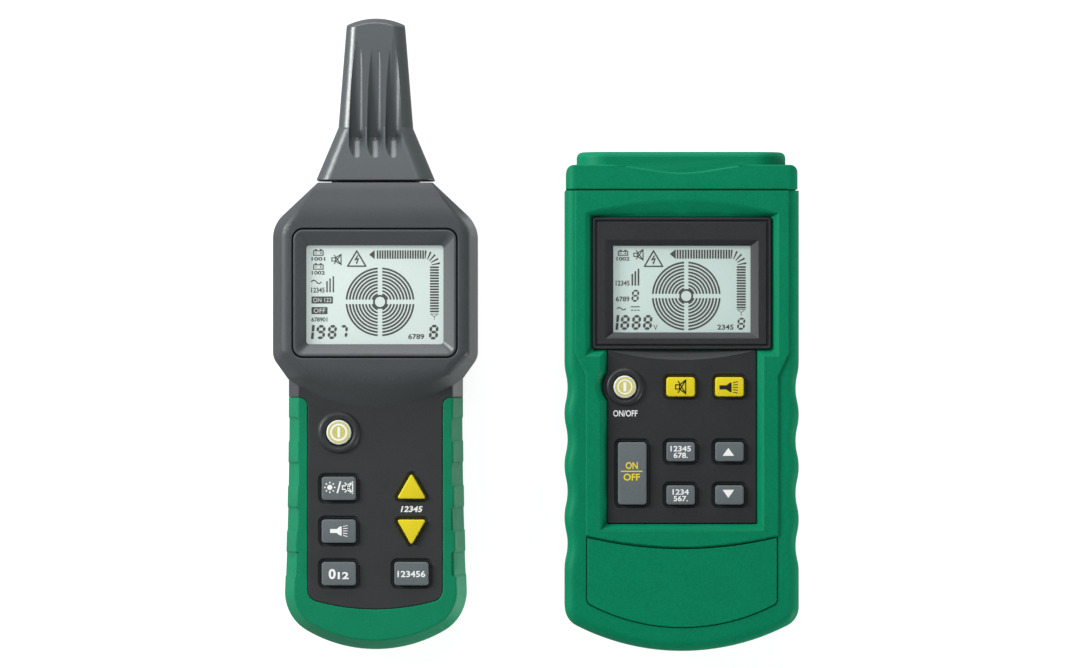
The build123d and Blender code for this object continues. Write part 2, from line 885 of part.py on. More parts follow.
with BuildPart() as pocket_block:
    with BuildSketch(RX):
        for side in (-1, 1):
            for index in range(pocket_count):
                with Locations((side * rx_width / 2, pocket_first_y + index * pocket_pitch)):
                    RectangleRounded(rx_width - 2 * pocket_inner_x, pocket_h, pocket_r)
    extrude(amount=rx_panel_z)
    add(handle_form(pocket_d, 0, rx_panel_z - pocket_d), mode=Mode.SUBTRACT)

with BuildPart() as grip_boot:
    add(handle_form(0, 0, rx_panel_z, crease=crease_r))
    add(handle_form(boot_t, boot_t, rx_panel_z - boot_t), mode=Mode.SUBTRACT)
    with BuildSketch(RX):
        add(face_plan(grow=fit))
    extrude(amount=rx_panel_z, mode=Mode.SUBTRACT)
    rim_half = face_w / 2 + 2 * fit
    front_rim = grip_boot.edges().filter_by_position(Axis.Z, rx_panel_z - fit, rx_panel_z + fit)
    front_rim = front_rim.filter_by_position(Axis.X, RX.origin.X - rim_half, RX.origin.X + rim_half)
    fillet(front_rim.sort_by(Axis.Y)[:5], rim_edge)
    add(pocket_block.part, mode=Mode.SUBTRACT)
finish(grip_boot, "receiver_grip_boot")

# Receiver: antenna nose with its flutes
with BuildPart() as probe:
    with BuildSketch(across(RX, nose_step_y, nose_z)):
        RectangleRounded(probe_w, probe_t, probe_r)
    with BuildSketch(across(RX, rx_length, nose_z)):
        RectangleRounded(tip_w, tip_t, tip_r)
    loft(ruled=True)
    with Locations(RX.origin + Vector(0, rx_length - tip_dome_r, nose_z)):
        Sphere(tip_dome_r, mode=Mode.INTERSECT)
    fillet(probe.faces().sort_by(Axis.Y)[-1].edges(), tip_edge)

with BuildPart() as nose:
    with BuildSketch(across(RX, nose_y, nose_z)):
        RectangleRounded(skirt_w, skirt_t, skirt_r)
    with BuildSketch(across(RX, nose_step_y, nose_z)):
        RectangleRounded(probe_w, skirt_top_t, probe_r)
    loft(ruled=True)
    fillet(nose.faces().sort_by(Axis.Y)[-1].edges(), nose_edge)
    fillet(nose.faces().sort_by(Axis.Y)[0].edges(), nose_edge)
    add(probe.part)
    # Flutes, deepening from the tip to the step and climbing out through the skirt
    flute_run = probe_len - flute_end
    flute_rise = flute_d - (probe_t - tip_t) / 2 * flute_run / probe_len
    flute_step = Vector(0, nose_step_y, nose_z + probe_t / 2 - flute_d + flute_r)
    upper_way = Vector(0, flute_run, flute_rise).normalized()
    lower_way = Vector(0, -1, flute_slope).normalized()
    for index in range(flute_count):
        flute_x = Vector((index - (flute_count - 1) / 2) * flute_pitch, 0, 0)
        bend = RX.origin + flute_step + flute_x - upper_way * flute_bend
        for side, way in ((-1, upper_way), (1, lower_way)):
            with BuildSketch(Plane(bend, x_dir=(side, 0, 0), z_dir=way)) as flute:
                Circle(flute_r)
                with Locations((0, flute_r)):
                    Rectangle(2 * flute_r, 2 * flute_r)
            extrude(flute.sketch, amount=probe_len, mode=Mode.SUBTRACT)
        with Locations(bend):
            Sphere(flute_r, mode=Mode.SUBTRACT)
    with BuildSketch(across(RX, nose_y, nose_z)):
        RectangleRounded(spigot_w + 2 * fit, spigot_t + 2 * fit, plug_r + fit)
    extrude(amount=spigot_len, mode=Mode.SUBTRACT)
    with BuildSketch(across(RX, nose_y, nose_z)):
        Circle(nose_bore_r)
    extrude(amount=rx_length - nose_bore_end - nose_y, mode=Mode.SUBTRACT)
finish(nose, "receiver_nose")

with BuildPart() as antenna_rod:
    with BuildSketch(across(RX, rx_head_y - rod_inner, nose_z)):
        Circle(rod_r)
    extrude(amount=rod_len)
finish(antenna_rod, "receiver_antenna_rod")

with BuildPart() as antenna_coil:
    with BuildSketch(across(RX, rx_head_y + coil_rise, nose_z)):
        Circle(coil_r)
        Circle(rod_r + fit, mode=Mode.SUBTRACT)
    extrude(amount=coil_len)
finish(antenna_coil, "receiver_antenna_coil")

# Receiver: display stack
with BuildPart() as rx_bezel:
    with BuildSketch(RX.offset(rx_bezel_seat_z)):
        with Locations((0, rx_bezel_y)):
            RectangleRounded(rx_bezel_w, rx_bezel_h, rx_bezel_r)
    extrude(amount=rx_bezel_t)
    # Sloping funnel down to the window
    with BuildSketch(RX.offset(rx_window_z + window_t + funnel_foot)):
        with Locations((0, rx_display_y)):
            RectangleRounded(display_w, rx_display_h, display_r)
    with BuildSketch(RX.offset(rx_bezel_z)):
        with Locations((0, rx_bezel_y)):
            RectangleRounded(
                rx_bezel_w - 2 * rx_bezel_lip,
                rx_bezel_h - 2 * rx_bezel_lip,
                rx_bezel_r - rx_bezel_lip,
            )
    loft(ruled=True, mode=Mode.SUBTRACT)
    with BuildSketch(RX.offset(rx_bezel_seat_z)):
        with Locations((0, rx_display_y)):
            RectangleRounded(display_w, rx_display_h, display_r)
    extrude(amount=rx_depth - rx_bezel_seat_z, mode=Mode.SUBTRACT)
    with BuildSketch(RX.offset(rx_bezel_seat_z)):
        with Locations((0, rx_display_y)):
            Rectangle(display_w + 2 * window_lap + 2 * fit, rx_display_h + 2 * window_lap + 2 * fit)
    extrude(amount=window_t + fit, mode=Mode.SUBTRACT)
finish(rx_bezel, "receiver_bezel")

plate(
    RX,
    "receiver_window",
    display_w / 2 + window_lap,
    rx_display_y - rx_display_h / 2 - window_lap,
    rx_display_y + rx_display_h / 2 + window_lap,
    rx_window_z,
    window_t,
)
plate(RX, "receiver_display", rx_glass_half, rx_glass_lo, rx_glass_hi, rx_glass_z, glass_t)
plate(
    RX,
    "receiver_backlight",
    rx_glass_half - ledge_gap,
    rx_glass_lo + ledge_gap,
    rx_glass_hi - ledge_gap,
    rx_board_top,
    rx_glass_z - rx_board_top,
    display_r,
)

with BuildPart() as rx_board:
    with BuildSketch(RX.offset(rx_board_z)):
        span(rx_handle_half - ledge_gap, rx_cavity_end_y + ledge_gap, rx_jaw_y)
        span(rx_cavity_half - ledge_gap, rx_jaw_y - head_wall + ledge_gap, rx_cavity_hi - ledge_gap)
    extrude(amount=board_t)
finish(rx_board, "receiver_circuit_board")

plate(
    RX,
    "receiver_keypad_mat",
    rx_post_x - post_r - fit,
    rx_row_end_y - rx_key_h,
    rx_power_y + rx_power_d,
    rx_board_top,
    mat_t,
    key_corner_r,
)

for key_name, key_shape in rx_keys.items():
    make_key(
        RX,
        f"receiver_{key_name}_key",
        key_shape,
        rx_lip_z,
        rx_lip_z,
        rx_panel_z + key_proud,
    )

with BuildPart() as rx_buzzer:
    with BuildSketch(RX.offset(rx_board_z - buzzer_h)):
        with Locations((0, rx_handle_len + rx_buzzer_rise)):
            Circle(buzzer_r)
            Circle(post_r / 2, mode=Mode.SUBTRACT)
    extrude(amount=buzzer_h)
finish(rx_buzzer, "receiver_buzzer")

with BuildPart() as rx_torch_lens:
    with BuildSketch(rx_lamp_plane):
        Circle(lamp_r)
    extrude(amount=-lamp_len)
    lens_rims = rx_torch_lens.edges().filter_by(GeomType.CIRCLE)
    chamfer(lens_rims.sort_by(Axis(RX.origin, shoulder_out))[-1], lamp_edge)
finish(rx_torch_lens, "receiver_torch_lens")

# Receiver: six cells, turned end for end in turn, with their contact strips
with BuildPart() as cells:
    for index in range(cell_count):
        cell_y = rx_bay_y + fit + cell_pitch * (index + 0.5)
        turn = 1 if index % 2 else -1
        cell_end = Plane(
            RX.origin + Vector(-turn * cell_len / 2, cell_y, rx_cell_z),
            z_dir=(turn, 0, 0),
        )
        with BuildSketch(cell_end):
            Circle(cell_r)
        extrude(amount=cell_len - cell_nub)
        with BuildSketch(cell_end.offset(cell_len - cell_nub)):
            Circle(cell_nub_r)
        extrude(amount=cell_nub)
finish(cells, "receiver_cells")

with BuildPart() as cell_contacts:
    for side in (-1, 1):
        for index in range(cell_count // 2 + (1 if side > 0 else 0)):
            first = 2 * index - (1 if side > 0 else 0)
            strip_lo = rx_bay_y + fit + cell_pitch * max(first, 0) + cell_nub
            strip_hi = rx_bay_y + fit + cell_pitch * min(first + 2, cell_count) - cell_nub
            with BuildSketch(RX.offset(rx_cell_z - cell_r / 2)):
                with Locations((side * (cell_len / 2 + fit + contact_t / 2), (strip_lo + strip_hi) / 2)):
                    Rectangle(contact_t, strip_hi - strip_lo)
            extrude(amount=cell_r)
finish(cell_contacts, "receiver_cell_contacts")

make_battery_door(RX, "receiver_battery_door", rx_door_half, rx_door_y, rx_door_hi, rx_door_screw_y)
make_door_screw(RX, "receiver_battery_door_screw", rx_door_screw_y)
make_case_screws(RX, "receiver_case_screws", rx_screw_spots)

# Transmitter: outlines
tx_half = tx_width / 2
tx_body_z = tx_depth - plate_step


def tx_outline():
    """Outline of the transmitter case, with waved grips down both sides."""
    corner_y = tx_end_r - sqrt(tx_end_r**2 - tx_half**2)
    quarter = grip_pitch / 4
    with BuildSketch() as outline:
        with BuildLine():
            ThreePointArc((-tx_half, corner_y), (0, 0), (tx_half, corner_y))
            Line((-tx_half, tx_case_len), (tx_half, tx_case_len))
            for side in (-1, 1):
                crest_x = side * tx_half
                middle_x = side * (tx_half - grip_d / 2)
                trough_x = side * (tx_half - grip_d)
                Line((crest_x, corner_y), (crest_x, grip_first_y))
                for index in range(grip_count):
                    y = grip_first_y + index * grip_pitch
                    TangentArc((crest_x, y), (middle_x, y + quarter), tangent=(0, 1))
                    ThreePointArc(
                        (middle_x, y + quarter),
                        (trough_x, y + 2 * quarter),
                        (middle_x, y + 3 * quarter),
                    )
                    TangentArc((crest_x, y + 4 * quarter), (middle_x, y + 3 * quarter), tangent=(0, -1))
                Line((crest_x, grip_first_y + grip_count * grip_pitch), (crest_x, tx_case_len))
        make_face()
        fillet(outline.vertices().group_by(Axis.Y)[0], tx_end_corner_r)
    return outline.sketch


def plate_outline():
    """Outline of the raised front plate, narrower beside the keys, down to the curved seam."""
    wide = tx_half - plate_inset
    narrow = tx_half - plate_inset_low
    with BuildSketch() as outline:
        with BuildLine():
            ThreePointArc((-narrow, seam_y), (0, seam_y - seam_bow), (narrow, seam_y))
            Line((-wide, tx_case_len), (wide, tx_case_len))
            for side in (-1, 1):
                Polyline(
                    (side * narrow, seam_y),
                    (side * narrow, plate_bend_lo),
                    (side * wide, plate_bend_hi),
                    (side * wide, tx_case_len),
                )
        make_face()
    return outline.sketch


def brow_outline(half, y_lo, y_corner, y_mid):
    """Outline of the display recess, with an arched brow."""
    with BuildSketch() as outline:
        with BuildLine():
            Polyline((-half, y_corner), (-half, y_lo), (half, y_lo), (half, y_corner))
            ThreePointArc((half, y_corner), (0, y_mid), (-half, y_corner))
        make_face()
    return outline.sketch


def key_panel_outline(grow=0.0):
    """Outline of the key panel, swollen round the power key."""
    with BuildSketch() as outline:
        span(tx_panel_w / 2, tx_panel_lo, tx_panel_hi)
        with Locations((tx_col_power, tx_row_top)):
            Circle(boss_r)
        if grow:
            offset(amount=grow)
    return outline.sketch


def low_panel_outline(grow=0.0):
    """Outline of the lower front panel, under the curved seam."""
    half = low_w / 2
    side_y = seam_y - 2 * low_gap
    corner_y = low_end_y + low_end_r - sqrt(low_end_r**2 - half**2)
    with BuildSketch() as outline:
        with BuildLine():
            ThreePointArc((-half, corner_y), (0, low_end_y), (half, corner_y))
            Line((half, corner_y), (half, side_y))
            ThreePointArc((half, side_y), (0, side_y - seam_bow), (-half, side_y))
            Line((-half, side_y), (-half, corner_y))
        make_face()
        fillet(outline.vertices().group_by(Axis.Y)[0], low_corner_r)
        if grow:
            offset(amount=grow)
    return outline.sketch


tx_keys = {
    "power": ("round", tx_col_power, tx_row_top, tx_power_d, tx_power_d),
    "mute": ("oblong", tx_col_mid, tx_row_top, tx_key_w, tx_key_h),
    "torch": ("oblong", tx_col_right, tx_row_top, tx_key_w, tx_key_h),
    "start": ("oblong", tx_col_start, (tx_row_up + tx_row_down) / 2, tx_key_w, tx_start_h),
    "level": ("oblong", tx_col_mid, tx_row_up, tx_key_w, tx_key_h),
    "code": ("oblong", tx_col_mid, tx_row_down, tx_key_w, tx_key_h),
    "up": ("oblong", tx_col_right, tx_row_up, tx_key_w, tx_key_h),
    "down": ("oblong", tx_col_right, tx_row_down, tx_key_w, tx_key_h),
}

# Transmitter: places worked out from the sizes above
tx_cavity_half = tx_half - tx_wall
tx_low_half = tx_half - tx_low_wall
tx_cavity_hi = tx_case_len - tx_end_wall
tx_bezel_y = (tx_bezel_lo + tx_bezel_hi) / 2
tx_bezel_h = tx_bezel_hi - tx_bezel_lo
tx_glass_lo = tx_display_y - tx_display_h / 2 - glass_border
tx_glass_hi = tx_display_y + tx_display_h / 2 + glass_border
tx_bezel_z = tx_depth - tx_bezel_sink
tx_bezel_seat_z = tx_bezel_z - tx_bezel_t
tx_window_z = tx_bezel_seat_z + fit
tx_glass_z = tx_bezel_seat_z - fit - glass_t
tx_panel_under = tx_panel_z - tx_panel_t
tx_board_top = tx_board_z + board_t
tx_lip_z = tx_panel_under - lip_gap - key_lip_t
tx_foot_z = tx_board_top + mat_t + press_gap + key_travel
tx_low_z = tx_body_z + low_proud - low_t
tx_screw_spots = [
    (side * (tx_cavity_half + screw_head_r + screw_land), y)
    for side in (-1, 1)
    for y in (tx_screw_lo, tx_case_len - tx_screw_drop)
]
tx_post_x = tx_panel_w / 2 + tx_post_side
tx_post_spots = [
    (side * tx_post_x, y)
    for side in (-1, 1)
    for y in (tx_panel_lo + tx_post_lo_rise, tx_panel_hi - tx_post_hi_drop)
]
tx_bay_half = (battery_len + snap_t) / 2 + battery_gap
tx_bay_hi = tx_bay_y + battery_h + 2 * battery_gap
tx_door_half = tx_bay_half + tx_door_lap
tx_door_lo = tx_bay_y - tx_door_tab
tx_door_hi = tx_bay_hi + tx_door_lap
tx_door_screw_y = tx_bay_y - tx_door_tab / 2
tx_low_y = tx_door_hi + tongue_len + tx_bay_end
socket_spots = [(-socket_x, 0), (socket_x, 0)]

# Transmitter: whole case form, cut in two further on
with BuildPart() as tx_case:
    with BuildSketch(TX):
        add(tx_outline())
    extrude(amount=tx_body_z)
    fillet(tx_case.faces().sort_by(Axis.Z)[-1].edges().sort_by(Axis.Y)[:-1], tx_edge_r)
    fillet(tx_case.faces().sort_by(Axis.Z)[0].edges().sort_by(Axis.Y)[:-1], tx_back_r)
    with BuildSketch(TX.offset(tx_body_z)):
        add(plate_outline())
    extrude(amount=plate_step)
    fillet(tx_case.faces().sort_by(Axis.Z)[-1].edges().sort_by(Axis.Y)[:-1], plate_edge)
    # Inside: the wide part behind the display and keys, and the narrow part over the battery
    with BuildSketch(TX.offset(tx_floor)):
        span(tx_cavity_half, tx_low_y, tx_cavity_hi)
    extrude(amount=tx_roof_z - tx_floor, mode=Mode.SUBTRACT)
    with BuildSketch(TX.offset(tx_split_z)):
        span(tx_low_half, tx_cavity_end_y, tx_low_y)
    extrude(amount=tx_roof_z - tx_split_z, mode=Mode.SUBTRACT)
    with BuildSketch(across(TX, tx_cavity_hi, collar_z)):
        RectangleRounded(plug_w + 2 * fit, plug_t + 2 * fit, plug_r + fit)
    extrude(amount=tx_end_wall, mode=Mode.SUBTRACT)
    cut_case_screw_holes(TX, tx_screw_spots)

with BuildPart() as tx_front_shell:
    add(tx_case.part)
    split(bisect_by=TX.offset(tx_split_z), keep=Keep.TOP)
    # Bevelled recess round the bezel, the key panel and the power key
    brow_lo = tx_bezel_lo - tx_panel_gap
    brow_hi = tx_bezel_hi + tx_panel_gap
    brow_half = tx_bezel_w / 2 + tx_panel_gap
    bevel_steps = (
        (recess_z, 0),
        (tx_depth - recess_edge, 1 - recess_edge / recess_d),
        (tx_depth, 1 + recess_edge / bevel_w),
    )
    for z, part in bevel_steps:
        with BuildSketch(TX.offset(z)):
            add(
                brow_outline(
                    brow_half + part * bevel_w,
                    brow_lo - part * bevel_w,
                    brow_hi + part * brow_edge,
                    brow_hi + tx_panel_gap + part * brow_rise,
                )
            )
    loft(ruled=True, mode=Mode.SUBTRACT)
    for z, part in bevel_steps:
        grow = tx_panel_gap + part * bevel_w
        with BuildSketch(TX.offset(z)):
            span(tx_panel_w / 2 + grow, tx_panel_lo - grow, tx_bezel_lo + bevel_w)
    loft(ruled=True, mode=Mode.SUBTRACT)
    for z, part in bevel_steps:
        with BuildSketch(TX.offset(z)):
            with Locations((tx_col_power, tx_row_top)):
                Circle(boss_r + tx_panel_gap + part * bevel_w)
    loft(ruled=True, mode=Mode.SUBTRACT)
    # Seats of the bezel and key panel, and the openings under them
    with BuildSketch(TX.offset(tx_bezel_seat_z)):
        span(brow_half, brow_lo, brow_hi, tx_bezel_r + tx_panel_gap)
    extrude(amount=recess_z - tx_bezel_seat_z, mode=Mode.SUBTRACT)
    with BuildSketch(TX.offset(tx_roof_z)):
        span(display_w / 2 + glass_border + ledge_gap, tx_glass_lo - ledge_gap, tx_glass_hi + ledge_gap)
    extrude(amount=tx_bezel_seat_z - tx_roof_z, mode=Mode.SUBTRACT)
    with BuildSketch(TX.offset(tx_panel_under)):
        add(key_panel_outline(grow=tx_panel_gap))
    extrude(amount=recess_z - tx_panel_under, mode=Mode.SUBTRACT)
    with BuildSketch(TX.offset(tx_roof_z)):
        add(key_panel_outline(grow=-tx_panel_ledge))
    extrude(amount=tx_panel_under - tx_roof_z, mode=Mode.SUBTRACT)
    with BuildSketch(TX.offset(tx_low_z)):
        add(low_panel_outline(grow=low_gap))
    extrude(amount=tx_depth - tx_low_z, mode=Mode.SUBTRACT)
    with BuildSketch(TX.offset(tx_board_top)):
        with Locations(*tx_post_spots):
            Circle(post_r)
    extrude(amount=tx_roof_z - tx_board_top)
finish(tx_front_shell, "transmitter_front_shell")

with BuildPart() as tx_rear_shell:
    add(tx_case.part)
    split(bisect_by=TX.offset(tx_split_z), keep=Keep.BOTTOM)
    with BuildSketch(TX):
        span(tx_bay_half, tx_bay_y, tx_bay_hi)
    extrude(amount=tx_bay_z, mode=Mode.SUBTRACT)
    cut_door_rebate(TX, tx_door_half, tx_door_lo, tx_door_hi, tx_door_screw_y)
finish(tx_rear_shell, "transmitter_rear_shell")

# Transmitter: top cap with the collar that holds the sockets
with BuildPart() as top_cap:
    with BuildSketch(TX.offset(cap_z_lo)) as cap_face:
        span(cap_w / 2, tx_cap_y, tx_shoulder_y)
        fillet(cap_face.vertices().group_by(Axis.Y)[-1], cap_corner_r)
    extrude(amount=cap_z_hi - cap_z_lo)
    with BuildSketch(across(TX, tx_cap_y, (cap_z_lo + cap_z_hi) / 2)):
        RectangleRounded(cap_w, cap_z_hi - cap_z_lo, cap_edge_r)
    extrude(amount=cap_len, mode=Mode.INTERSECT)
    fillet(top_cap.faces().sort_by(Axis.Y)[0].edges(), cap_rim)
    fillet(top_cap.faces().sort_by(Axis.Y)[-1].edges(), cap_rim)
    with BuildSketch(across(TX, tx_cap_y, collar_z)):
        RectangleRounded(collar_w, collar_t, collar_r)
    extrude(amount=cap_len + collar_len)
    fillet(top_cap.faces().sort_by(Axis.Y)[-1].edges(), collar_edge_r)
    # Dip in the front edge of the cap, in front of the collar
    with BuildSketch(TX.offset(collar_z + collar_t / 2)):
        with BuildLine():
            Spline(
                (-cap_dip_half, tx_shoulder_y),
                (0, tx_shoulder_y - cap_dip),
                (cap_dip_half, tx_shoulder_y),
                tangents=((1, -cap_dip_slope), (1, cap_dip_slope)),
            )
            Line((-cap_dip_half, tx_shoulder_y), (cap_dip_half, tx_shoulder_y))
        make_face()
    extrude(amount=cap_z_hi, mode=Mode.SUBTRACT)
    with BuildSketch(across(TX, tx_cap_y - plug_len, collar_z)):
        RectangleRounded(plug_w, plug_t, plug_r)
    extrude(amount=plug_len)
    with BuildSketch(across(TX, tx_length - sleeve_len, collar_z)):
        with Locations(*socket_spots):
            Circle(sleeve_r + fit)
    extrude(amount=sleeve_len, mode=Mode.SUBTRACT)
    with BuildSketch(across(TX, tx_length - lamp_hole, collar_z)):
        with Locations((tx_lamp_x, 0)):
            Circle(lamp_r + fit)
    extrude(amount=lamp_hole, mode=Mode.SUBTRACT)
finish(top_cap, "transmitter_top_cap")

for side_name, socket_spot in zip(("left", "right"), socket_spots):
    with BuildPart() as sleeve:
        with BuildSketch(across(TX, tx_length - sleeve_len, collar_z)):
            with Locations(socket_spot):
                Circle(sleeve_r)
        extrude(amount=sleeve_len - fit)
        with BuildSketch(across(TX, tx_length - sleeve_len + sleeve_floor, collar_z)):
            with Locations(socket_spot):
                Circle(sleeve_bore_r)
        extrude(amount=sleeve_len, mode=Mode.SUBTRACT)
        with BuildSketch(across(TX, tx_length - sleeve_len + sleeve_floor / 2, collar_z)):
            with Locations(socket_spot):
                Circle(contact_r + fit)
        extrude(amount=sleeve_floor, mode=Mode.SUBTRACT)
    finish(sleeve, f"transmitter_socket_sleeve_{side_name}")

with BuildPart() as socket_contacts:
    contact_y = tx_length - sleeve_len + sleeve_floor / 2
    with BuildSketch(across(TX, contact_y, collar_z)):
        with Locations(*socket_spots):
            Circle(contact_r)
    extrude(amount=contact_len)
    with BuildSketch(across(TX, contact_y + contact_len - contact_bore_len, collar_z)):
        with Locations(*socket_spots):
            Circle(contact_bore_r)
    extrude(amount=contact_bore_len, mode=Mode.SUBTRACT)
finish(socket_contacts, "transmitter_socket_contacts")

with BuildPart() as tx_torch_lens:
    with BuildSketch(across(TX, tx_length - fit - lamp_len, collar_z)):
        with Locations((tx_lamp_x, 0)):
            Circle(lamp_r)
    extrude(amount=lamp_len)
    chamfer(tx_torch_lens.edges().filter_by(GeomType.CIRCLE).sort_by(Axis.Y)[-1], lamp_edge)
finish(tx_torch_lens, "transmitter_torch_lens")

# Transmitter: display stack
with BuildPart() as tx_bezel:
    with BuildSketch(TX.offset(tx_bezel_seat_z)):
        span(tx_bezel_w / 2, tx_bezel_lo, tx_bezel_hi, tx_bezel_r)
    extrude(amount=tx_bezel_z - tx_bezel_seat_z)
    # Groove inside the rim
    with BuildSketch(TX.offset(tx_bezel_z - tx_rim_groove_d)):
        with Locations((0, tx_bezel_y)):
            Rectangle(tx_bezel_w - 2 * tx_rim_w, tx_bezel_h - 2 * tx_rim_w)
            Rectangle(
                tx_bezel_w - 2 * tx_rim_w - 2 * tx_rim_groove_w,
                tx_bezel_h - 2 * tx_rim_w - 2 * tx_rim_groove_w,
                mode=Mode.SUBTRACT,
            )
    extrude(amount=tx_rim_groove_d, mode=Mode.SUBTRACT)
    # Slope down to the window
    with BuildSketch(TX.offset(tx_window_z + window_t + funnel_foot)):
        with Locations((0, tx_display_y)):
            Rectangle(display_w, tx_display_h)
    with BuildSketch(TX.offset(tx_bezel_z)):
        with Locations((0, tx_display_y)):
            Rectangle(display_w + 2 * tx_slope_w, tx_display_h + 2 * tx_slope_h)
    loft(ruled=True, mode=Mode.SUBTRACT)
    with BuildSketch(TX.offset(tx_bezel_seat_z)):
        with Locations((0, tx_display_y)):
            Rectangle(display_w, tx_display_h)
    extrude(amount=tx_bezel_z - tx_bezel_seat_z, mode=Mode.SUBTRACT)
    with BuildSketch(TX.offset(tx_bezel_seat_z)):
        with Locations((0, tx_display_y)):
            Rectangle(display_w + 2 * window_lap + 2 * fit, tx_display_h + 2 * window_lap + 2 * fit)
    extrude(amount=window_t + fit, mode=Mode.SUBTRACT)
finish(tx_bezel, "transmitter_bezel")

plate(
    TX,
    "transmitter_window",
    display_w / 2 + window_lap,
    tx_display_y - tx_display_h / 2 - window_lap,
    tx_display_y + tx_display_h / 2 + window_lap,
    tx_window_z,
    window_t,
)
plate(
    TX,
    "transmitter_display",
    display_w / 2 + glass_border,
    tx_glass_lo,
    tx_glass_hi,
    tx_glass_z,
    glass_t,
)
plate(
    TX,
    "transmitter_backlight",
    display_w / 2 + glass_border - ledge_gap,
    tx_glass_lo + ledge_gap,
    tx_glass_hi - ledge_gap,
    tx_board_top,
    tx_glass_z - tx_board_top,
    display_r,
)

# Transmitter: key panel with its scooped brow, and the lower panel
with BuildPart() as key_panel:
    with BuildSketch(TX.offset(tx_panel_under)):
        add(key_panel_outline())
    extrude(amount=tx_panel_t)
    scoop_r = ((tx_panel_w / 2) ** 2 + brow_band_d**2) / (2 * brow_band_d)
    scoop = Plane(
        TX.origin + Vector(0, tx_panel_hi, tx_panel_z - brow_band_d + scoop_r),
        x_dir=(1, 0, 0),
        z_dir=(0, -brow_band, brow_band_d),
    )
    with BuildSketch(scoop):
        Circle(scoop_r)
    extrude(amount=2 * brow_band, both=True, mode=Mode.SUBTRACT)
    fillet(key_panel.faces().sort_by(Axis.Z)[-1].edges().sort_by(Axis.Y)[:-1], tx_panel_edge)
    add_power_ring(TX, tx_keys["power"], tx_ring_d, tx_ring_crest_d, tx_panel_z)
    cut_key_holes(TX, tx_keys, tx_panel_z, tx_panel_t)
finish(key_panel, "transmitter_key_panel")

with BuildPart() as low_panel:
    with BuildSketch(TX.offset(tx_low_z)):
        add(low_panel_outline())
    extrude(amount=low_t)
    fillet(low_panel.faces().sort_by(Axis.Z)[-1].edges(), low_gap)
finish(low_panel, "transmitter_lower_panel")

plate(
    TX,
    "transmitter_circuit_board",
    tx_low_half - ledge_gap,
    tx_cavity_end_y + tx_board_end,
    tx_cavity_hi - tx_board_top_gap,
    tx_board_z,
    board_t,
)
plate(
    TX,
    "transmitter_keypad_mat",
    tx_post_x - post_r - ledge_gap,
    tx_panel_lo + tx_panel_ledge,
    tx_panel_hi - tx_panel_ledge,
    tx_board_top,
    mat_t,
    key_corner_r,
)

for key_name, key_shape in tx_keys.items():
    make_key(
        TX,
        f"transmitter_{key_name}_key",
        key_shape,
        tx_foot_z,
        tx_lip_z,
        tx_panel_z + key_proud,
    )

with BuildPart() as tx_buzzer:
    with BuildSketch(TX.offset(tx_board_z - buzzer_h)):
        with Locations((0, tx_buzzer_y)):
            Circle(buzzer_r)
            Circle(post_r / 2, mode=Mode.SUBTRACT)
    extrude(amount=buzzer_h)
finish(tx_buzzer, "transmitter_buzzer")

# Transmitter: 9 V battery lying across the case, its snap and its door
battery_x = battery_gap - tx_bay_half
battery_mid = (tx_bay_y + tx_bay_hi) / 2
battery_z = door_t + battery_gap
stud_spots = [(-stud_pitch / 2, 0), (stud_pitch / 2, 0)]
battery_end = Plane(
    TX.origin + Vector(battery_x + battery_len - stud_len, battery_mid, battery_z + battery_t / 2),
    x_dir=(0, 1, 0),
    z_dir=(1, 0, 0),
)
with BuildPart() as battery:
    with BuildSketch(battery_end):
        RectangleRounded(battery_h, battery_t, door_r)
    extrude(amount=-(battery_len - stud_len))
    with BuildSketch(battery_end):
        with Locations(*stud_spots):
            Circle(stud_r)
    extrude(amount=stud_len)
finish(battery, "transmitter_battery")

with BuildPart() as battery_snap:
    with BuildSketch(battery_end.offset(fit)):
        RectangleRounded(battery_h - 2 * fit, battery_t - 2 * fit, door_r)
        with Locations(*stud_spots):
            Circle(stud_r + fit, mode=Mode.SUBTRACT)
    extrude(amount=snap_t)
finish(battery_snap, "transmitter_battery_snap")

make_battery_door(TX, "transmitter_battery_door", tx_door_half, tx_door_lo, tx_door_hi, tx_door_screw_y)
make_door_screw(TX, "transmitter_battery_door_screw", tx_door_screw_y)
make_case_screws(TX, "transmitter_case_screws", tx_screw_spots)
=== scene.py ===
from math import atan2, cos, pi, radians, sin, tan

import bmesh
import bpy
from mathutils import Matrix, Vector


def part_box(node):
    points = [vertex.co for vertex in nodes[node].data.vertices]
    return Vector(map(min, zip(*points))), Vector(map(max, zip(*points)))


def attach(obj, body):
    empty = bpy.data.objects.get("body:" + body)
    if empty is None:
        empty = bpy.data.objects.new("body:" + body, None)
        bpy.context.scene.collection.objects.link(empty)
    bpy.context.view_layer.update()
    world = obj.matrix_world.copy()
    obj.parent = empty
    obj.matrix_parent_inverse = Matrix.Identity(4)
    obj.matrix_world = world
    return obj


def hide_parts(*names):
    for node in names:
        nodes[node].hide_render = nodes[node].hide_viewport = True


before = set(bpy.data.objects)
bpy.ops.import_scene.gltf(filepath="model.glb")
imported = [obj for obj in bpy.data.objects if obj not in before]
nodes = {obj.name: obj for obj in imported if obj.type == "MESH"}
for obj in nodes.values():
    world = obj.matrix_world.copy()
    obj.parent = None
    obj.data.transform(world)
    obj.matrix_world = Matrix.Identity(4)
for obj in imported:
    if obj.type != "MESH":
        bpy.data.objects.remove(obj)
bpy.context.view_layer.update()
scene = bpy.context.scene
mm = 0.001


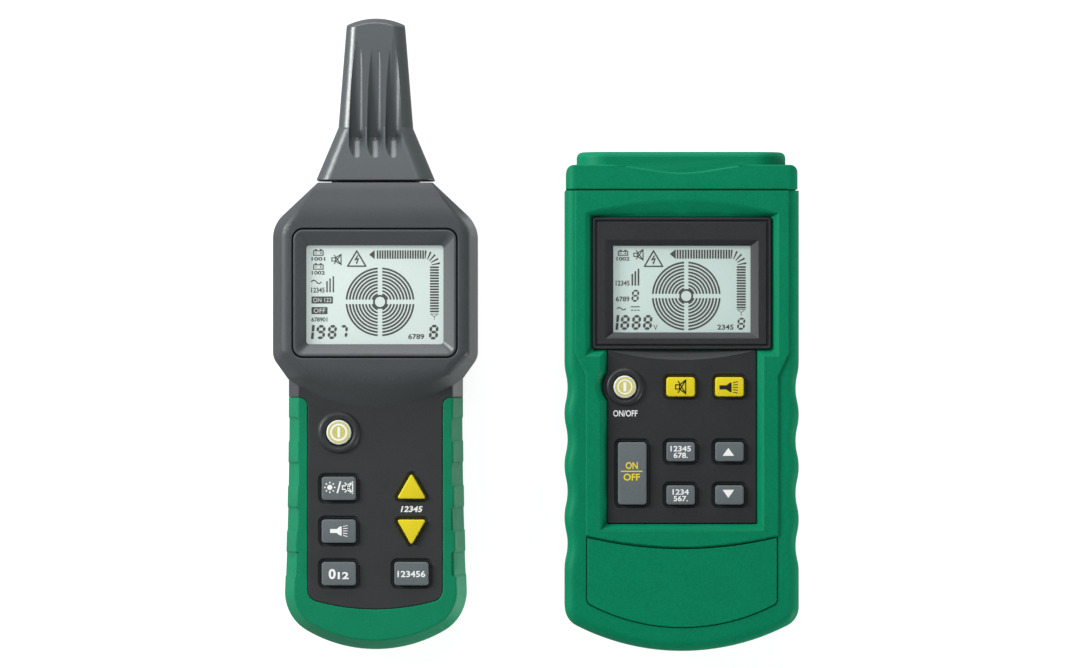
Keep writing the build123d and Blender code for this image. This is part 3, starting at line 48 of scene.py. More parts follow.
# Studio: a pale floor under the set, a soft key lamp at the left, two weak lamps beyond and above
# the top ends, a low lamp at the right, and a white card between the units that lights the
# receiver's right side. The camera looks straight down through a long lens, and the floor is clear
# from below.
def soft_lamp(name, place, size, height, power):
    """A rectangular studio lamp aimed at the middle of the set."""
    lamp = bpy.data.lights.new(name, "AREA")
    lamp.shape = "RECTANGLE"
    lamp.size = size
    lamp.size_y = height
    lamp.energy = power
    holder = bpy.data.objects.new(name, lamp)
    holder.location = place
    holder.rotation_euler = (-Vector(place)).to_track_quat("-Z", "Y").to_euler()
    scene.collection.objects.link(holder)


soft_lamp("key_lamp", (-1.07, 0.4, 0.63), 0.45, 0.45, 15.5)
soft_lamp("end_lamp", (-0.1, 0.65, 0.22), 0.6, 0.3, 2.6)
soft_lamp("top_lamp", (0.0, 0.6, 1.04), 0.4, 0.4, 2)
soft_lamp("side_lamp", (1.0, -0.6, 0.15), 0.4, 0.4, 8)
white = (1.0, 1.0, 1.0, 1.0)
scene.world = bpy.data.worlds.new("studio")
scene.world.use_nodes = True
surround = scene.world.node_tree.nodes["Background"]
surround.inputs["Color"].default_value = white
surround.inputs["Strength"].default_value = 0.28
scene.view_settings.view_transform = "Standard"

camera = bpy.data.cameras.new("camera")
camera_height = 2.6
view_width = 406.4 * mm
view_middle = (-0.58 * mm, -0.16 * mm)
front_level = 37 * mm
camera.sensor_width = 36
camera.sensor_fit = "HORIZONTAL"
camera.lens = camera.sensor_width * camera_height / view_width
camera_stand = bpy.data.objects.new("camera", camera)
camera_stand.location = (*view_middle, camera_height + front_level)
scene.collection.objects.link(camera_stand)
scene.camera = camera_stand


def fill(tree, socket, value):
    """Gives a socket a plain value, or links it to another socket or to each of a list."""
    if isinstance(value, list):
        for source in value:
            tree.links.new(source, socket)
    elif isinstance(value, bpy.types.NodeSocket):
        tree.links.new(value, socket)
    else:
        socket.default_value = value


def feed(tree, node, **inputs):
    """Fills inputs of a node, named with a low line for each space."""
    for name, value in inputs.items():
        fill(tree, node.inputs[name.replace("_", " ")], value)


def put(tree, kind, **inputs):
    """Adds a node to a tree and fills its inputs."""
    node = tree.nodes.new(kind)
    feed(tree, node, **inputs)
    return node


def reckon(tree, operation, first, second=0.0):
    """The outcome of a sum in a node tree, from plain numbers or sockets."""
    node = tree.nodes.new("ShaderNodeMath")
    node.operation = operation
    fill(tree, node.inputs[0], first)
    fill(tree, node.inputs[1], second)
    return node.outputs[0]


def studio_sheet(name, corners, glow, **finish):
    """A flat sheet that shines on its front and is clear from behind, with its corners in millimetres."""
    paint = bpy.data.materials.new(name + "_paint")
    paint.use_nodes = True
    tree = paint.node_tree
    behind = put(tree, "ShaderNodeNewGeometry").outputs["Backfacing"]
    front = reckon(tree, "SUBTRACT", 1.0, behind)
    shader = tree.nodes["Principled BSDF"]
    feed(tree, shader, Emission_Color=white, Emission_Strength=glow, Alpha=front, **finish)
    mesh = bpy.data.meshes.new(name)
    mesh.from_pydata([Vector(corner) * mm for corner in corners], [], [(0, 1, 2, 3)])
    mesh.materials.append(paint)
    sheet = bpy.data.objects.new(name, mesh)
    scene.collection.objects.link(sheet)
    return sheet


corner_signs = [(-1, -1), (1, -1), (1, 1), (-1, 1)]
floor_half, floor_z = 4000, -0.2
floor_spots = [(x * floor_half, y * floor_half, floor_z) for x, y in corner_signs]
floor_grey = (0.3, 0.3, 0.3, 1.0)
floor = studio_sheet("floor", floor_spots, 0.9, Base_Color=floor_grey, Roughness=0.9, Specular_IOR_Level=0.1)
floor.visible_glossy = False
card_x, card_top, card_low, card_end = -12, 34, -125, 59
card_plan = [(card_low, 0), (card_low, card_top), (card_end, card_top), (card_end, 0)]
card = studio_sheet("card", [(card_x, y, z) for y, z in card_plan], 1.4)
card.visible_camera = False
card.visible_diffuse = False
card.visible_shadow = False
card.visible_transmission = False


# Receiver case: two halves moulded in grey ABS with a fine sparked texture, screwed together.
# The front half carries the head round the display and the key panel of the grip, which is painted
# a darker grey.
def group_socket(group, name, kind, output=False):
    """Adds a named input or output to a node group."""
    way = "OUTPUT" if output else "INPUT"
    return group.interface.new_socket(name, in_out=way, socket_type="NodeSocket" + kind)


def make_grain_group():
    """Sparked mould texture: speckled colour, uneven gloss and a fine bumpy height."""
    group = bpy.data.node_groups.new("sparked_grain", "ShaderNodeTree")
    group_socket(group, "Colour", "Color")
    for name in ("Grain Scale", "Speckle", "Mottle", "Roughness", "Spread"):
        group_socket(group, name, "Float")
    group_socket(group, "Colour", "Color", output=True)
    group_socket(group, "Roughness", "Float", output=True)
    group_socket(group, "Height", "Float", output=True)
    given = put(group, "NodeGroupInput").outputs
    place = put(group, "ShaderNodeTexCoord").outputs["Object"]
    grain = put(group, "ShaderNodeTexNoise", Vector=place, Scale=given["Grain Scale"], Detail=1.5)
    cloud = put(group, "ShaderNodeTexNoise", Vector=place, Scale=90, Detail=3)
    parts = []
    for noise, amount in ((grain, "Speckle"), (cloud, "Mottle")):
        centred = reckon(group, "SUBTRACT", noise.outputs["Fac"], 0.5)
        parts.append(reckon(group, "MULTIPLY", centred, given[amount]))
    uneven = reckon(group, "ADD", *parts)
    level = reckon(group, "ADD", uneven, 1.0)
    tint = put(group, "ShaderNodeHueSaturation", Color=given["Colour"], Value=level).outputs["Color"]
    spread = reckon(group, "MULTIPLY", uneven, given["Spread"])
    gloss = reckon(group, "ADD", spread, given["Roughness"])
    put(group, "NodeGroupOutput", Colour=tint, Roughness=gloss, Height=grain.outputs["Fac"])
    return group


sparked_grain = make_grain_group()


def colour(red, green, blue):
    """A colour given in display values, as the shaders take it."""
    levels = [level / 255 for level in (red, green, blue)]
    linear = [v / 12.92 if v <= 0.04045 else ((v + 0.055) / 1.055) ** 2.4 for v in levels]
    return (*linear, 1.0)


def moulded(
    name, tone, roughness, grain=0.5, speckle=0.5, relief=0.02,
    specular=0.35, alpha=1.0, metal=0.0, edge=0.0, glow=0.0,
):
    """A moulded or printed finish: its colour, gloss, grain, eased edges and a glow of painted light, sizes
    in millimetres.
    """
    material = bpy.data.materials.new(name)
    material.use_nodes = True
    tree = material.node_tree
    texture = put(tree, "ShaderNodeGroup")
    texture.node_tree = sparked_grain
    feed(tree, texture, Colour=tone, Grain_Scale=1 / (grain * mm), Speckle=speckle, Mottle=0.25 * speckle)
    feed(tree, texture, Roughness=roughness, Spread=0.5)
    made = texture.outputs
    bump = put(tree, "ShaderNodeBump", Strength=0.6, Distance=relief * mm, Height=made["Height"])
    if edge:
        feed(tree, bump, Normal=put(tree, "ShaderNodeBevel", Radius=edge * mm).outputs["Normal"])
    shader = tree.nodes["Principled BSDF"]
    feed(tree, shader, Base_Color=made["Colour"], Roughness=made["Roughness"], Normal=bump.outputs["Normal"])
    feed(tree, shader, Specular_IOR_Level=specular, Alpha=alpha, Metallic=metal)
    # The glow is painted light: the surface shines in its own tone without any lamp.
    feed(tree, shader, Emission_Color=tone, Emission_Strength=glow)
    return material


def unit_of(name):
    """The unit that a piece's name begins with."""
    return name.split("_")[0]


def show(name, mesh, material, slot, *replaced, body=None):
    """Puts a finished mesh on its unit, or on a body of its own, in place of the CAD pieces named."""
    mesh.materials.clear()
    mesh.materials.append(material)
    mesh.name = name
    piece = bpy.data.objects.new(name, mesh)
    scene.collection.objects.link(piece)
    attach(piece, body or unit_of(name))
    if replaced:
        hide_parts(*replaced)
    return piece


def settled(piece):
    """The mesh of an object once its modifiers have done their work, with the object taken away."""
    scene.collection.objects.link(piece)
    evaluated = piece.evaluated_get(bpy.context.evaluated_depsgraph_get())
    mesh = bpy.data.meshes.new_from_object(evaluated)
    piece.modifiers.clear()
    bpy.data.objects.remove(piece)
    return mesh


plain_crease = 34


def moulding(node, material, slot, crease=plain_crease, shape=None):
    """A CAD moulding with its triangles merged, shaped further where asked and shaded smoothly."""
    merge_gap, flat_angle, stray_angle = 0.002 * mm, radians(0.1), radians(25)
    skin = bmesh.new()
    skin.from_mesh(nodes[node].data)
    bmesh.ops.remove_doubles(skin, verts=skin.verts, dist=merge_gap)
    bmesh.ops.dissolve_limit(skin, angle_limit=flat_angle, verts=skin.verts, edges=skin.edges)
    mesh = bpy.data.meshes.new(node)
    skin.to_mesh(mesh)
    skin.free()
    if shape:
        mesh = shape(mesh)
    mesh.shade_smooth()
    mesh.set_sharp_from_angle(angle=radians(crease))
    former = bpy.data.objects.new("former", mesh)
    evened = former.modifiers.new("even_faces", "WEIGHTED_NORMAL")
    evened.keep_sharp = True
    made = settled(former)
    normals = [corner.vector.copy() for corner in made.corner_normals]
    for face in made.polygons:
        for corner in face.loop_indices:
            if normals[corner].angle(face.normal, 0) > stray_angle:
                normals[corner] = face.normal.copy()
    made.normals_split_custom_set(normals)
    return show(node + "_moulding", made, material, slot, node)


def unit_place(front_shell):
    """The place of a unit on the floor: the middle of its front shell at the lower end of the set."""
    low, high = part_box(front_shell)
    return Vector(((low.x + high.x) / 2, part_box("receiver_grip_boot")[0].y, 0))


receiver = unit_place("receiver_front_shell")
transmitter = unit_place("transmitter_front_shell")
units = {"receiver": receiver, "transmitter": transmitter}
grey_case = moulded("grey_case", colour(70, 74, 76), 0.4, speckle=0.5, specular=0.35, edge=0.3)
dark_face = moulded("dark_face", colour(51, 54, 56), 0.4, speckle=0.55, specular=0.35, edge=0.3)
rx_panel_z = 31.0
rx_panel_end = 92.9
rx_neck_end = 103.4
case_front = moulding("receiver_front_shell", grey_case, "grey_case", crease=20)
case_front.data.materials.append(dark_face)
for face in case_front.data.polygons:
    place = (face.center - receiver) / mm
    on_neck = place.y < rx_neck_end and abs(place.z - rx_panel_z) < 0.05
    if place.y < rx_panel_end or on_neck:
        face.material_index = 1
moulding("receiver_rear_shell", grey_case, "grey_case")

# Receiver boot: soft green rubber moulded over the grip, with four finger pockets on each side.
# It is stretched over the case and ends at the key panel.
green_rubber = moulded("green_rubber", colour(3, 127, 88), 0.5, 0.45, 0.7, 0.02, specular=0.2, edge=0.5)
pocket_rows = [32.8 + 17.1 * row for row in range(4)]
pocket_half = 4.8


def ease_pockets(mesh):
    """Slopes the ends of the finger pockets and lets them run out to a slight hollow at the sides."""
    end_slope, side_fill = 0.6, 0.45
    side_low, side_high = 7.9, 22.1
    skin = bmesh.new()
    skin.from_mesh(mesh)
    for row in pocket_rows:
        floor_verts = set()
        for face in skin.faces:
            spots = [(vertex.co - receiver) / mm for vertex in face.verts]
            inside = all(abs(spot.y - row) < pocket_half + 0.1 for spot in spots)
            on_side = all(side_low < spot.z < side_high for spot in spots)
            faces_out = face.normal.x * spots[0].x > 6
            if inside and faces_out and (on_side or abs(face.normal.z) > 0.05):
                floor_verts.update(face.verts)
        for vertex in floor_verts:
            spot = (vertex.co - receiver) / mm
            if side_low < spot.z < side_high:
                vertex.co.x += side_fill * mm * (1 if spot.x > 0 else -1)
            vertex.co.y -= end_slope * mm * (spot.y - row) / pocket_half
    skin.to_mesh(mesh)
    skin.free()
    return mesh


moulding("receiver_grip_boot", green_rubber, "green_rubber", shape=ease_pockets)

# Receiver nose: a hollow antenna cover in dark grey plastic with a satin shine, fluted in front.
# It is pushed over the spigot of the case, and the ferrite rod with its winding sits inside.
dark_nose = moulded("dark_nose", colour(76, 82, 84), 0.31, 0.8, 0.15, 0.004, specular=0.75)
moulding("receiver_nose", dark_nose, "dark_nose")


def finish_nodes(**finishes):
    """Gives CAD pieces that stay as they are their materials."""
    for node, material in finishes.items():
        nodes[node].data.materials.clear()
        nodes[node].data.materials.append(material)


ferrite = moulded("ferrite", colour(38, 36, 36), 0.6, grain=0.3)
copper_wire = moulded("copper_wire", colour(150, 84, 46), 0.35, grain=0.25, speckle=0.3)
finish_nodes(receiver_antenna_rod=ferrite, receiver_antenna_coil=copper_wire)


# Receiver bezel: a grey moulded frame set into the head with a groove round it.
# It slopes down like a funnel to the window.
def rounded(corners, radius, grow=0.0, steps=8):
    """Points round a polygon with rounded corners, grown or shrunk evenly, in millimetres."""
    count = len(corners)
    lines = []
    for index in range(count):
        start, end = Vector(corners[index]), Vector(corners[(index + 1) % count])
        along = (end - start).normalized()
        lines.append((start + Vector((along.y, -along.x)) * grow, along))
    points = []
    for index in range(count):
        before, run_in = lines[index - 1]
        after, run_out = lines[index]
        turn = run_in.x * run_out.y - run_in.y * run_out.x
        gap = after - before
        corner = before + run_in * ((gap.x * run_out.y - gap.y * run_out.x) / turn)
        bend = max(radius + grow, 0.02)
        bend_angle = atan2(turn, run_in.dot(run_out))
        half = (pi - bend_angle) / 2
        centre = corner + (run_out - run_in).normalized() * (bend / sin(half))
        first = corner - run_in * (bend / tan(half)) - centre
        for step in range(steps + 1):
            angle = bend_angle * step / steps
            turned_x = first.x * cos(angle) - first.y * sin(angle)
            turned_y = first.x * sin(angle) + first.y * cos(angle)
            points.append(centre + Vector((turned_x, turned_y)))
    return points


def oblong(x, y, width, height):
    """Corners of a rectangle about a point, in order."""
    return [(x + i * width / 2, y + j * height / 2) for i, j in corner_signs]


def local_box(node):
    """The corners of a CAD piece's box in its unit's own millimetres."""
    low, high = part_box(node)
    place = units[unit_of(node)]
    return (low - place) / mm, (high - place) / mm


def box_plan(low, high):
    """The outline of a box from the front."""
    return oblong((low.x + high.x) / 2, (low.y + high.y) / 2, high.x - low.x, high.y - low.y)


def skin_over(mesh, unit, loops, ring=False):
    """Joins outlines with as many points each, given with their heights, into one closed skin."""
    rows = []
    for points, z in loops:
        rows.append([mesh.verts.new(unit + Vector((point[0], point[1], z)) * mm) for point in points])
    pairs = list(zip(rows, rows[1:]))
    if ring:
        pairs.append((rows[-1], rows[0]))
    else:
        mesh.faces.new(rows[0][::-1])
        mesh.faces.new(rows[-1])
    for lower, upper in pairs:
        for index in range(len(lower)):
            after = (index + 1) % len(lower)
            mesh.faces.new((lower[index], lower[after], upper[after], upper[index]))


def closed_mesh(name, skin, crease=plain_crease):
    """Turns a drawn skin into a mesh with outward faces, smooth over its rounded edges."""
    bmesh.ops.remove_doubles(skin, verts=skin.verts, dist=0.0005 * mm)
    bmesh.ops.recalc_face_normals(skin, faces=skin.faces)
    mesh = bpy.data.meshes.new(name)
    skin.to_mesh(mesh)
    skin.free()
    mesh.shade_smooth()
    mesh.set_sharp_from_angle(angle=radians(crease))
    return mesh


def show_form(node, ending, loops, material, slot, crease=plain_crease, ring=False, body=None):
    """Shows a closed form drawn through outlines in place of a CAD piece, under its name with an ending."""
    name = node + ending
    skin = bmesh.new()
    skin_over(skin, units[unit_of(name)], loops, ring)
    show(name, closed_mesh(name, skin, crease), material, slot, node, body=body)


def stepped(outline, *steps):
    """Loops of one outline, each grown by an amount and at a height."""
    return [(rounded(*outline, grow=grow), z) for grow, z in steps]


def rolled(outline, z, radius, steps=4):
    """Loops over a rounded edge, from the side wall up to the level face."""
    angles = [pi / 2 * step / steps for step in range(steps + 1)]
    turns = [(radius * (cos(angle) - 1), z + radius * (sin(angle) - 1)) for angle in angles]
    return stepped(outline, *turns)


bezel_low, bezel_high = local_box("receiver_bezel")
window_low, window_high = local_box("receiver_window")
window_lap = 1.1
foot_rise = 0.4
bezel_lip = 0.7
display_y = (window_low.y + window_high.y) / 2
display_w = window_high.x - window_low.x - 2 * window_lap
display_h = window_high.y - window_low.y - 2 * window_lap
outer_corner, opening_corner, rebate_corner = 3.7, 1.2, 0.3
sheet_gap, rebate_grow = 0.05, window_lap + 0.1
bezel_outer = (box_plan(bezel_low, bezel_high), outer_corner)
display_plan = oblong(0, display_y, display_w, display_h)
rim_z, foot_z, rebate_z = bezel_high.z, window_high.z + foot_rise, window_high.z + sheet_gap
lip_steps = (-bezel_lip, rim_z), (-bezel_lip - 0.3, rim_z - 0.1), (-bezel_lip - 0.6, rim_z - 0.3)
bezel_loops = stepped(bezel_outer, (0, bezel_low.z)) + rolled(bezel_outer, rim_z, 0.4)
bezel_loops += stepped(bezel_outer, *lip_steps)
bezel_loops += stepped((display_plan, opening_corner), (0.3, foot_z + 0.15), (0, foot_z), (0, rebate_z))
bezel_loops += stepped((display_plan, rebate_corner), (rebate_grow, rebate_z), (rebate_grow, bezel_low.z))
bezel_grey = moulded("bezel_grey", colour(76, 81, 83), 0.36, speckle=0.35, specular=0.45, edge=0.2)
show_form("receiver_bezel", "_frame", bezel_loops, bezel_grey, "grey_case", crease=20, ring=True)


# Receiver window: a clear acrylic sheet with eased edges, glued into the rebate of the bezel.
# It lies a hair above the glass of the display.
def show_slab(node, ending, corner, edge, material, slot):
    """Shows a flat piece with a rounded upper edge in the box of a CAD piece."""
    low, high = local_box(node)
    outline = (box_plan(low, high), corner)
    loops = stepped(outline, (0, low.z)) + rolled(outline, high.z, edge)
    show_form(node, ending, loops, material, slot)


clear_acrylic = moulded("clear_acrylic", colour(252, 254, 254), 0.08, 4, 0.02, 0.0005, alpha=0.05)
sheet_corner, sheet_edge = 0.2, 0.12
show_slab("receiver_window", "_sheet", sheet_corner, sheet_edge, clear_acrylic, "clear_window")

# Receiver display: a sealed liquid crystal glass over a pale light guide. The glass glows in its own tone,
# which is painted light that lifts the shade of the bezel. Its signs, bars and digits are segments in dark
# ink on the glass.
glass_corner, glass_edge = 0.3, 0.15
rx_glass_z = local_box("receiver_display")[1].z
rx_lcd_painted_glow = moulded("rx_lcd_painted_glow", colour(178, 191, 187), 0.4, 0.35, 0.03, 0.0005, specular=0.2, glow=0.6)
show_slab("receiver_display", "_glass", glass_corner, glass_edge, rx_lcd_painted_glow, "display_glass")


def arc(x, y, radius, start, end, steps=24):
    """Points along a circle between two angles in degrees."""
    angles = [radians(start + (end - start) * step / steps) for step in range(steps + 1)]
    return [(x + radius * cos(angle), y + radius * sin(angle)) for angle in angles]


class Print:
    """Thin flat marks lying on one level of a unit, gathered into one closed piece."""

    def __init__(self, name, z, height=0.05, body=None):
        self.name = name
        self.body = body
        self.mesh = bmesh.new()
        self.unit = units[unit_of(name)]
        self.z = z
        self.height = height

    def patch(self, points):
        """A filled outline."""
        skin_over(self.mesh, self.unit, [(points, self.z), (points, self.z + self.height)])

    def disc(self, x, y, radius):
        """A filled circle."""
        self.patch(arc(x, y, radius, 0, 360, 40)[:-1])

    def bar(self, x_low, y_low, x_high, y_high):
        """A filled rectangle."""
        self.patch([(x_low, y_low), (x_high, y_low), (x_high, y_high), (x_low, y_high)])

    def line(self, points, width, closed=False):
        """A line of even width through the points, with mitred bends."""
        path = [Vector(point) for point in points]
        last = len(path) - 1
        left, right = [], []
        for index, point in enumerate(path):
            ahead = (path[0 if index == last else index + 1] - point).normalized()
            behind = (point - path[index - 1]).normalized()
            if not closed and index == 0:
                behind = ahead
            if not closed and index == last:
                ahead = behind
            across = Vector((-ahead.y - behind.y, ahead.x + behind.x)).normalized()
            reach = width / 2 / max(across.dot(Vector((-ahead.y, ahead.x))), 0.3)
            left.append(point + across * reach)
            right.append(point - across * reach)
        if closed:
            top = self.z + self.height
            sides = [(left, self.z), (left, top), (right, top), (right, self.z)]
            skin_over(self.mesh, self.unit, sides, ring=True)
        else:
            self.patch(left + right[::-1])

    def ring(self, x, y, radius, width):
        """A circle drawn with a line."""
        self.line(arc(x, y, radius, 0, 360, 48)[:-1], width, closed=True)

    def text(self, words, x, y, height, width=None, lean=0.0, weight=0.025):
        """Plain characters set about a point at a height, squeezed to a width where one is given."""
        letters = bpy.data.curves.new("letters", "FONT")
        letters.body = words
        letters.extrude = 0.1
        letters.offset = weight
        letters.shear = lean
        letters.resolution_u = 4
        flat = settled(bpy.data.objects.new("letters", letters))
        places = [vertex.co.copy() for vertex in flat.vertices]
        low = Vector([min(place[axis] for place in places) for axis in range(3)])
        high = Vector([max(place[axis] for place in places) for axis in range(3)])
        size = high - low
        tall = height / size.y
        wide = width / size.x if width else tall
        thick = self.height / size.z
        for vertex, place in zip(flat.vertices, places):
            away = place - (low + high) / 2
            spot = Vector((x + away.x * wide, y + away.y * tall, self.z + (place.z - low.z) * thick))
            vertex.co = self.unit + spot * mm
        self.mesh.from_mesh(flat)
        bpy.data.meshes.remove(flat)

    def digit(self, number, x_low, y_low, x_high, y_high, thick=1.0, lean=0.09):
        """A seven-segment digit in a box, leaning to the right."""
        lit = ("abcdef", "bc", "abged", "abgcd", "fgbc", "afgcd", "afgedc", "abc", "abcdefg", "abcdfg")
        gap = 0.16
        middle = (y_low + y_high) / 2
        slope = (y_high - y_low) * lean
        left, right = x_low + thick / 2, x_high - slope - thick / 2
        foot, top = y_low + thick / 2, y_high - thick / 2
        runs = {
            "a": (left, top, right, top),
            "b": (right, middle, right, top),
            "c": (right, foot, right, middle),
            "d": (left, foot, right, foot),
            "e": (left, foot, left, middle),
            "f": (left, middle, left, top),
            "g": (left, middle, right, middle),
        }
        if number == 1:
            for low, high in ((y_low, middle - gap), (middle + gap, y_high)):
                ends = [(-1, low), (1, low), (1, high), (-1, high)]
                self.patch([(right + side * thick / 2 + (y - y_low) * lean, y) for side, y in ends])
            return
        for name in lit[number]:
            x_start, y_start, x_end, y_end = runs[name]
            start, end = Vector((x_start, y_start)), Vector((x_end, y_end))
            along = (end - start).normalized()
            across = Vector((-along.y, along.x)) * thick / 2
            start, end = start + along * gap, end - along * gap
            shoulder = along * thick / 2
            points = [start, start + shoulder - across, end - shoulder - across]
            points += [end, end - shoulder + across, start + shoulder + across]
            self.patch([(point.x + (point.y - y_low) * lean, point.y) for point in points])

    def done(self, material, slot):
        """Shows the marks as one piece."""
        show(self.name, closed_mesh(self.name, self.mesh), material, slot, body=self.body)


def battery_sign(ink, x_low, y_low, x_high, y_high):
    """A battery box with its two poles on top."""
    line = 0.36
    middle = (y_low + y_high) / 2
    box = oblong((x_low + x_high) / 2, middle, x_high - x_low - line, y_high - y_low - line)
    ink.line(box, line, closed=True)
    for x, plus in ((x_low + 1.05, False), (x_high - 1.05, True)):
        ink.bar(x - 0.42, y_high + 0.02, x + 0.42, y_high + 0.45)
        ink.bar(x - 0.36, middle - 0.13, x + 0.36, middle + 0.13)
        if plus:
            ink.bar(x - 0.13, middle - 0.36, x + 0.13, middle + 0.36)


def speaker_sign(ink, x_low, y_low, x_high, y_high, line):
    """A loudspeaker struck out with a cross."""

    def at(across, up):
        return (x_low + across * (x_high - x_low), y_low + up * (y_high - y_low))

    ink.line([at(0.04, 0.35), at(0.4, 0.35), at(0.4, 0.65), at(0.04, 0.65)], line, closed=True)
    ink.line([at(0.4, 0.35), at(0.96, 0.02), at(0.96, 0.98), at(0.4, 0.65)], line, closed=True)
    ink.line([at(0.26, 0.08), at(0.94, 0.95)], line)
    ink.line([at(0.26, 0.92), at(0.94, 0.05)], line)


def bolt_sign(ink, x, foot, width, height):
    """A triangle with a bolt in it."""
    corners = [(x - width / 2, foot), (x + width / 2, foot), (x, foot + height)]
    ink.line(rounded(corners, 0.1, grow=-0.22, steps=3), 0.55, closed=True)
    bolt = [(0.38, 0.67), (-0.55, 0.42), (0.55, 0.47), (-0.05, 0.2)]
    ink.line([(x + across, foot + up * height) for across, up in bolt], 0.5)
    tip = [(-0.12, 0.12), (0.3, 0.26), (-0.4, 0.28)]
    ink.patch([(x + across, foot + up * height) for across, up in tip])


def bar_fan(ink, x, y, inner, outer):
    """Five wedges that lead the row of bars round its corner."""
    middle = Vector((x, y))
    for angle in (85, 66, 47, 29, 11):
        out = Vector((cos(radians(angle)), sin(radians(angle))))
        side = Vector((-out.y, out.x))
        near, far = middle + out * inner, middle + out * outer
        ink.patch([near - side * 0.15, far - side * 0.36, far + side * 0.36, near + side * 0.15])


def aerial_sign(ink, x, y_low, y_high, half):
    """A small aerial."""
    fork = (y_low + y_high) / 2
    ink.line([(x - half, y_high), (x + half, y_high), (x, fork)], 0.22, closed=True)
    ink.line([(x, fork), (x, y_low)], 0.22)


def wave_sign(ink, x_low, x_high, y, rise, line):
    """One wave of an alternating current."""
    steps = 24
    shares = [step / steps for step in range(steps + 1)]
    ink.line([(x_low + (x_high - x_low) * share, y + rise * sin(2 * pi * share)) for share in shares], line)


def geometry_tree(name, inputs):
    """A geometry tree with named inputs, and the sockets that give them."""
    tree = bpy.data.node_groups.new(name, "GeometryNodeTree")
    group_socket(tree, "Geometry", "Geometry")
    for socket, kind in inputs.items():
        group_socket(tree, socket, kind)
    group_socket(tree, "Material", "Material")
    group_socket(tree, "Geometry", "Geometry", output=True)
    return tree, put(tree, "NodeGroupInput").outputs


def grown(tree, kind, **inputs):
    """What a new geometry node gives first, with its inputs filled."""
    return put(tree, "GeometryNode" + kind, **inputs).outputs[0]


def end_tree(tree, shape, given):
    """Ends a tree in real geometry with its material."""
    real = grown(tree, "RealizeInstances", Geometry=shape)
    coat = grown(tree, "SetMaterial", Geometry=real, Material=given["Material"])
    put(tree, "NodeGroupOutput", Geometry=coat)
    return tree


def show_grown(name, tree, settings, place, material, slot, *replaced, bed=None):
    """Shows what a geometry tree makes in millimetres, set at a place of its unit."""
    base = bpy.data.objects.new(name, bed or bpy.data.meshes.new(name))
    growth = base.modifiers.new("growth", "NODES")
    growth.node_group = tree
    settings = settings | {"Material": material}
    for item in tree.interface.items_tree:
        if item.in_out == "INPUT" and item.name in settings:
            growth[item.identifier] = settings[item.name]
    made = settled(base)
    made.transform(Matrix.Translation(units[unit_of(name)] + Vector(place) * mm) @ Matrix.Scale(mm, 4))
    made.shade_smooth()
    made.set_sharp_from_angle(angle=radians(plain_crease))
    show(name, made, material, slot, *replaced)


def make_bar_row():
    """A row of equal bars at an even step."""
    tree, given = geometry_tree("bar_row", {"Count": "Int", "Step": "Vector", "Size": "Vector"})
    row = grown(tree, "MeshLine", Count=given["Count"], Offset=given["Step"])
    bar = grown(tree, "MeshCube", Size=given["Size"])
    return end_tree(tree, grown(tree, "InstanceOnPoints", Points=row, Instance=bar), given)


def make_target():
    """Rings cut into quarters by a cross, round a small circle."""
    sizes = ("First Radius", "Ring Step", "Line Width", "Half Gap", "Height", "Centre Radius")
    tree, given = geometry_tree("target", {"Rings": "Int"} | {size: "Float" for size in sizes})

    def work(operation, first, second=0.0):
        return reckon(tree, operation, first, second)

    slots = grown(tree, "MeshLine", Count=work("MULTIPLY", given["Rings"], 4), Offset=(0, 0, 0))
    index = grown(tree, "InputIndex")
    keep = grown(tree, "StoreNamedAttribute", Geometry=slots, Name="slot", Value=index)
    stroke = grown(tree, "ResampleCurve", Curve=grown(tree, "CurvePrimitiveLine"), Count=24)
    strokes = grown(tree, "InstanceOnPoints", Points=keep, Instance=stroke)
    real = grown(tree, "RealizeInstances", Geometry=strokes)
    slot = grown(tree, "InputNamedAttribute", Name="slot")
    ring = work("FLOOR", work("DIVIDE", slot, 4))
    quarter = work("SUBTRACT", slot, work("MULTIPLY", ring, 4))
    radius = work("ADD", given["First Radius"], work("MULTIPLY", ring, given["Ring Step"]))
    opening = work("ARCSINE", work("DIVIDE", given["Half Gap"], radius))
    sweep = work("SUBTRACT", pi / 2, work("MULTIPLY", opening, 2))
    run = work("MULTIPLY", grown(tree, "SplineParameter"), sweep)
    angle = work("ADD", work("ADD", work("MULTIPLY", quarter, pi / 2), opening), run)
    across = work("MULTIPLY", radius, work("COSINE", angle))
    up = work("MULTIPLY", radius, work("SINE", angle))
    spot = put(tree, "ShaderNodeCombineXYZ", X=across, Y=up).outputs[0]
    bend = grown(tree, "SetPosition", Geometry=real, Position=spot)
    circle = grown(tree, "CurvePrimitiveCircle", Resolution=48, Radius=given["Centre Radius"])
    both = grown(tree, "JoinGeometry", Geometry=[bend, circle])
    level = put(tree, "GeometryNodeSetCurveNormal", Curve=both)
    level.mode = "Z_UP"
    profile = grown(tree, "CurvePrimitiveQuadrilateral", Width=given["Line Width"], Height=given["Height"])
    solid = grown(tree, "CurveToMesh", Curve=level.outputs[0], Profile_Curve=profile, Fill_Caps=True)
    return end_tree(tree, solid, given)


bar_row = make_bar_row()
target = make_target()
display_ink = moulded("display_ink", colour(12, 15, 16), 0.5, 0.3, 0.2, 0.001, specular=0.05)
ink_height = 0.05


def lcd_bars(name, z, count, first, step, size):
    """A row of bars on a display, from the middle of its first bar."""
    settings = {"Count": count, "Step": (*step, 0), "Size": (*size, ink_height)}
    show_grown(name, bar_row, settings, (*first, z + ink_height / 2), display_ink, "display_glass")


def lcd_target(name, z, x, y, inner, step, half_gap):
    """The ringed target on a display."""
    settings = {"Rings": 9, "First Radius": inner, "Ring Step": step, "Half Gap": half_gap}
    settings |= {"Line Width": 0.7, "Height": ink_height, "Centre Radius": 2.3}
    show_grown(name, target, settings, (x, y, z + ink_height / 2), display_ink, "display_glass")


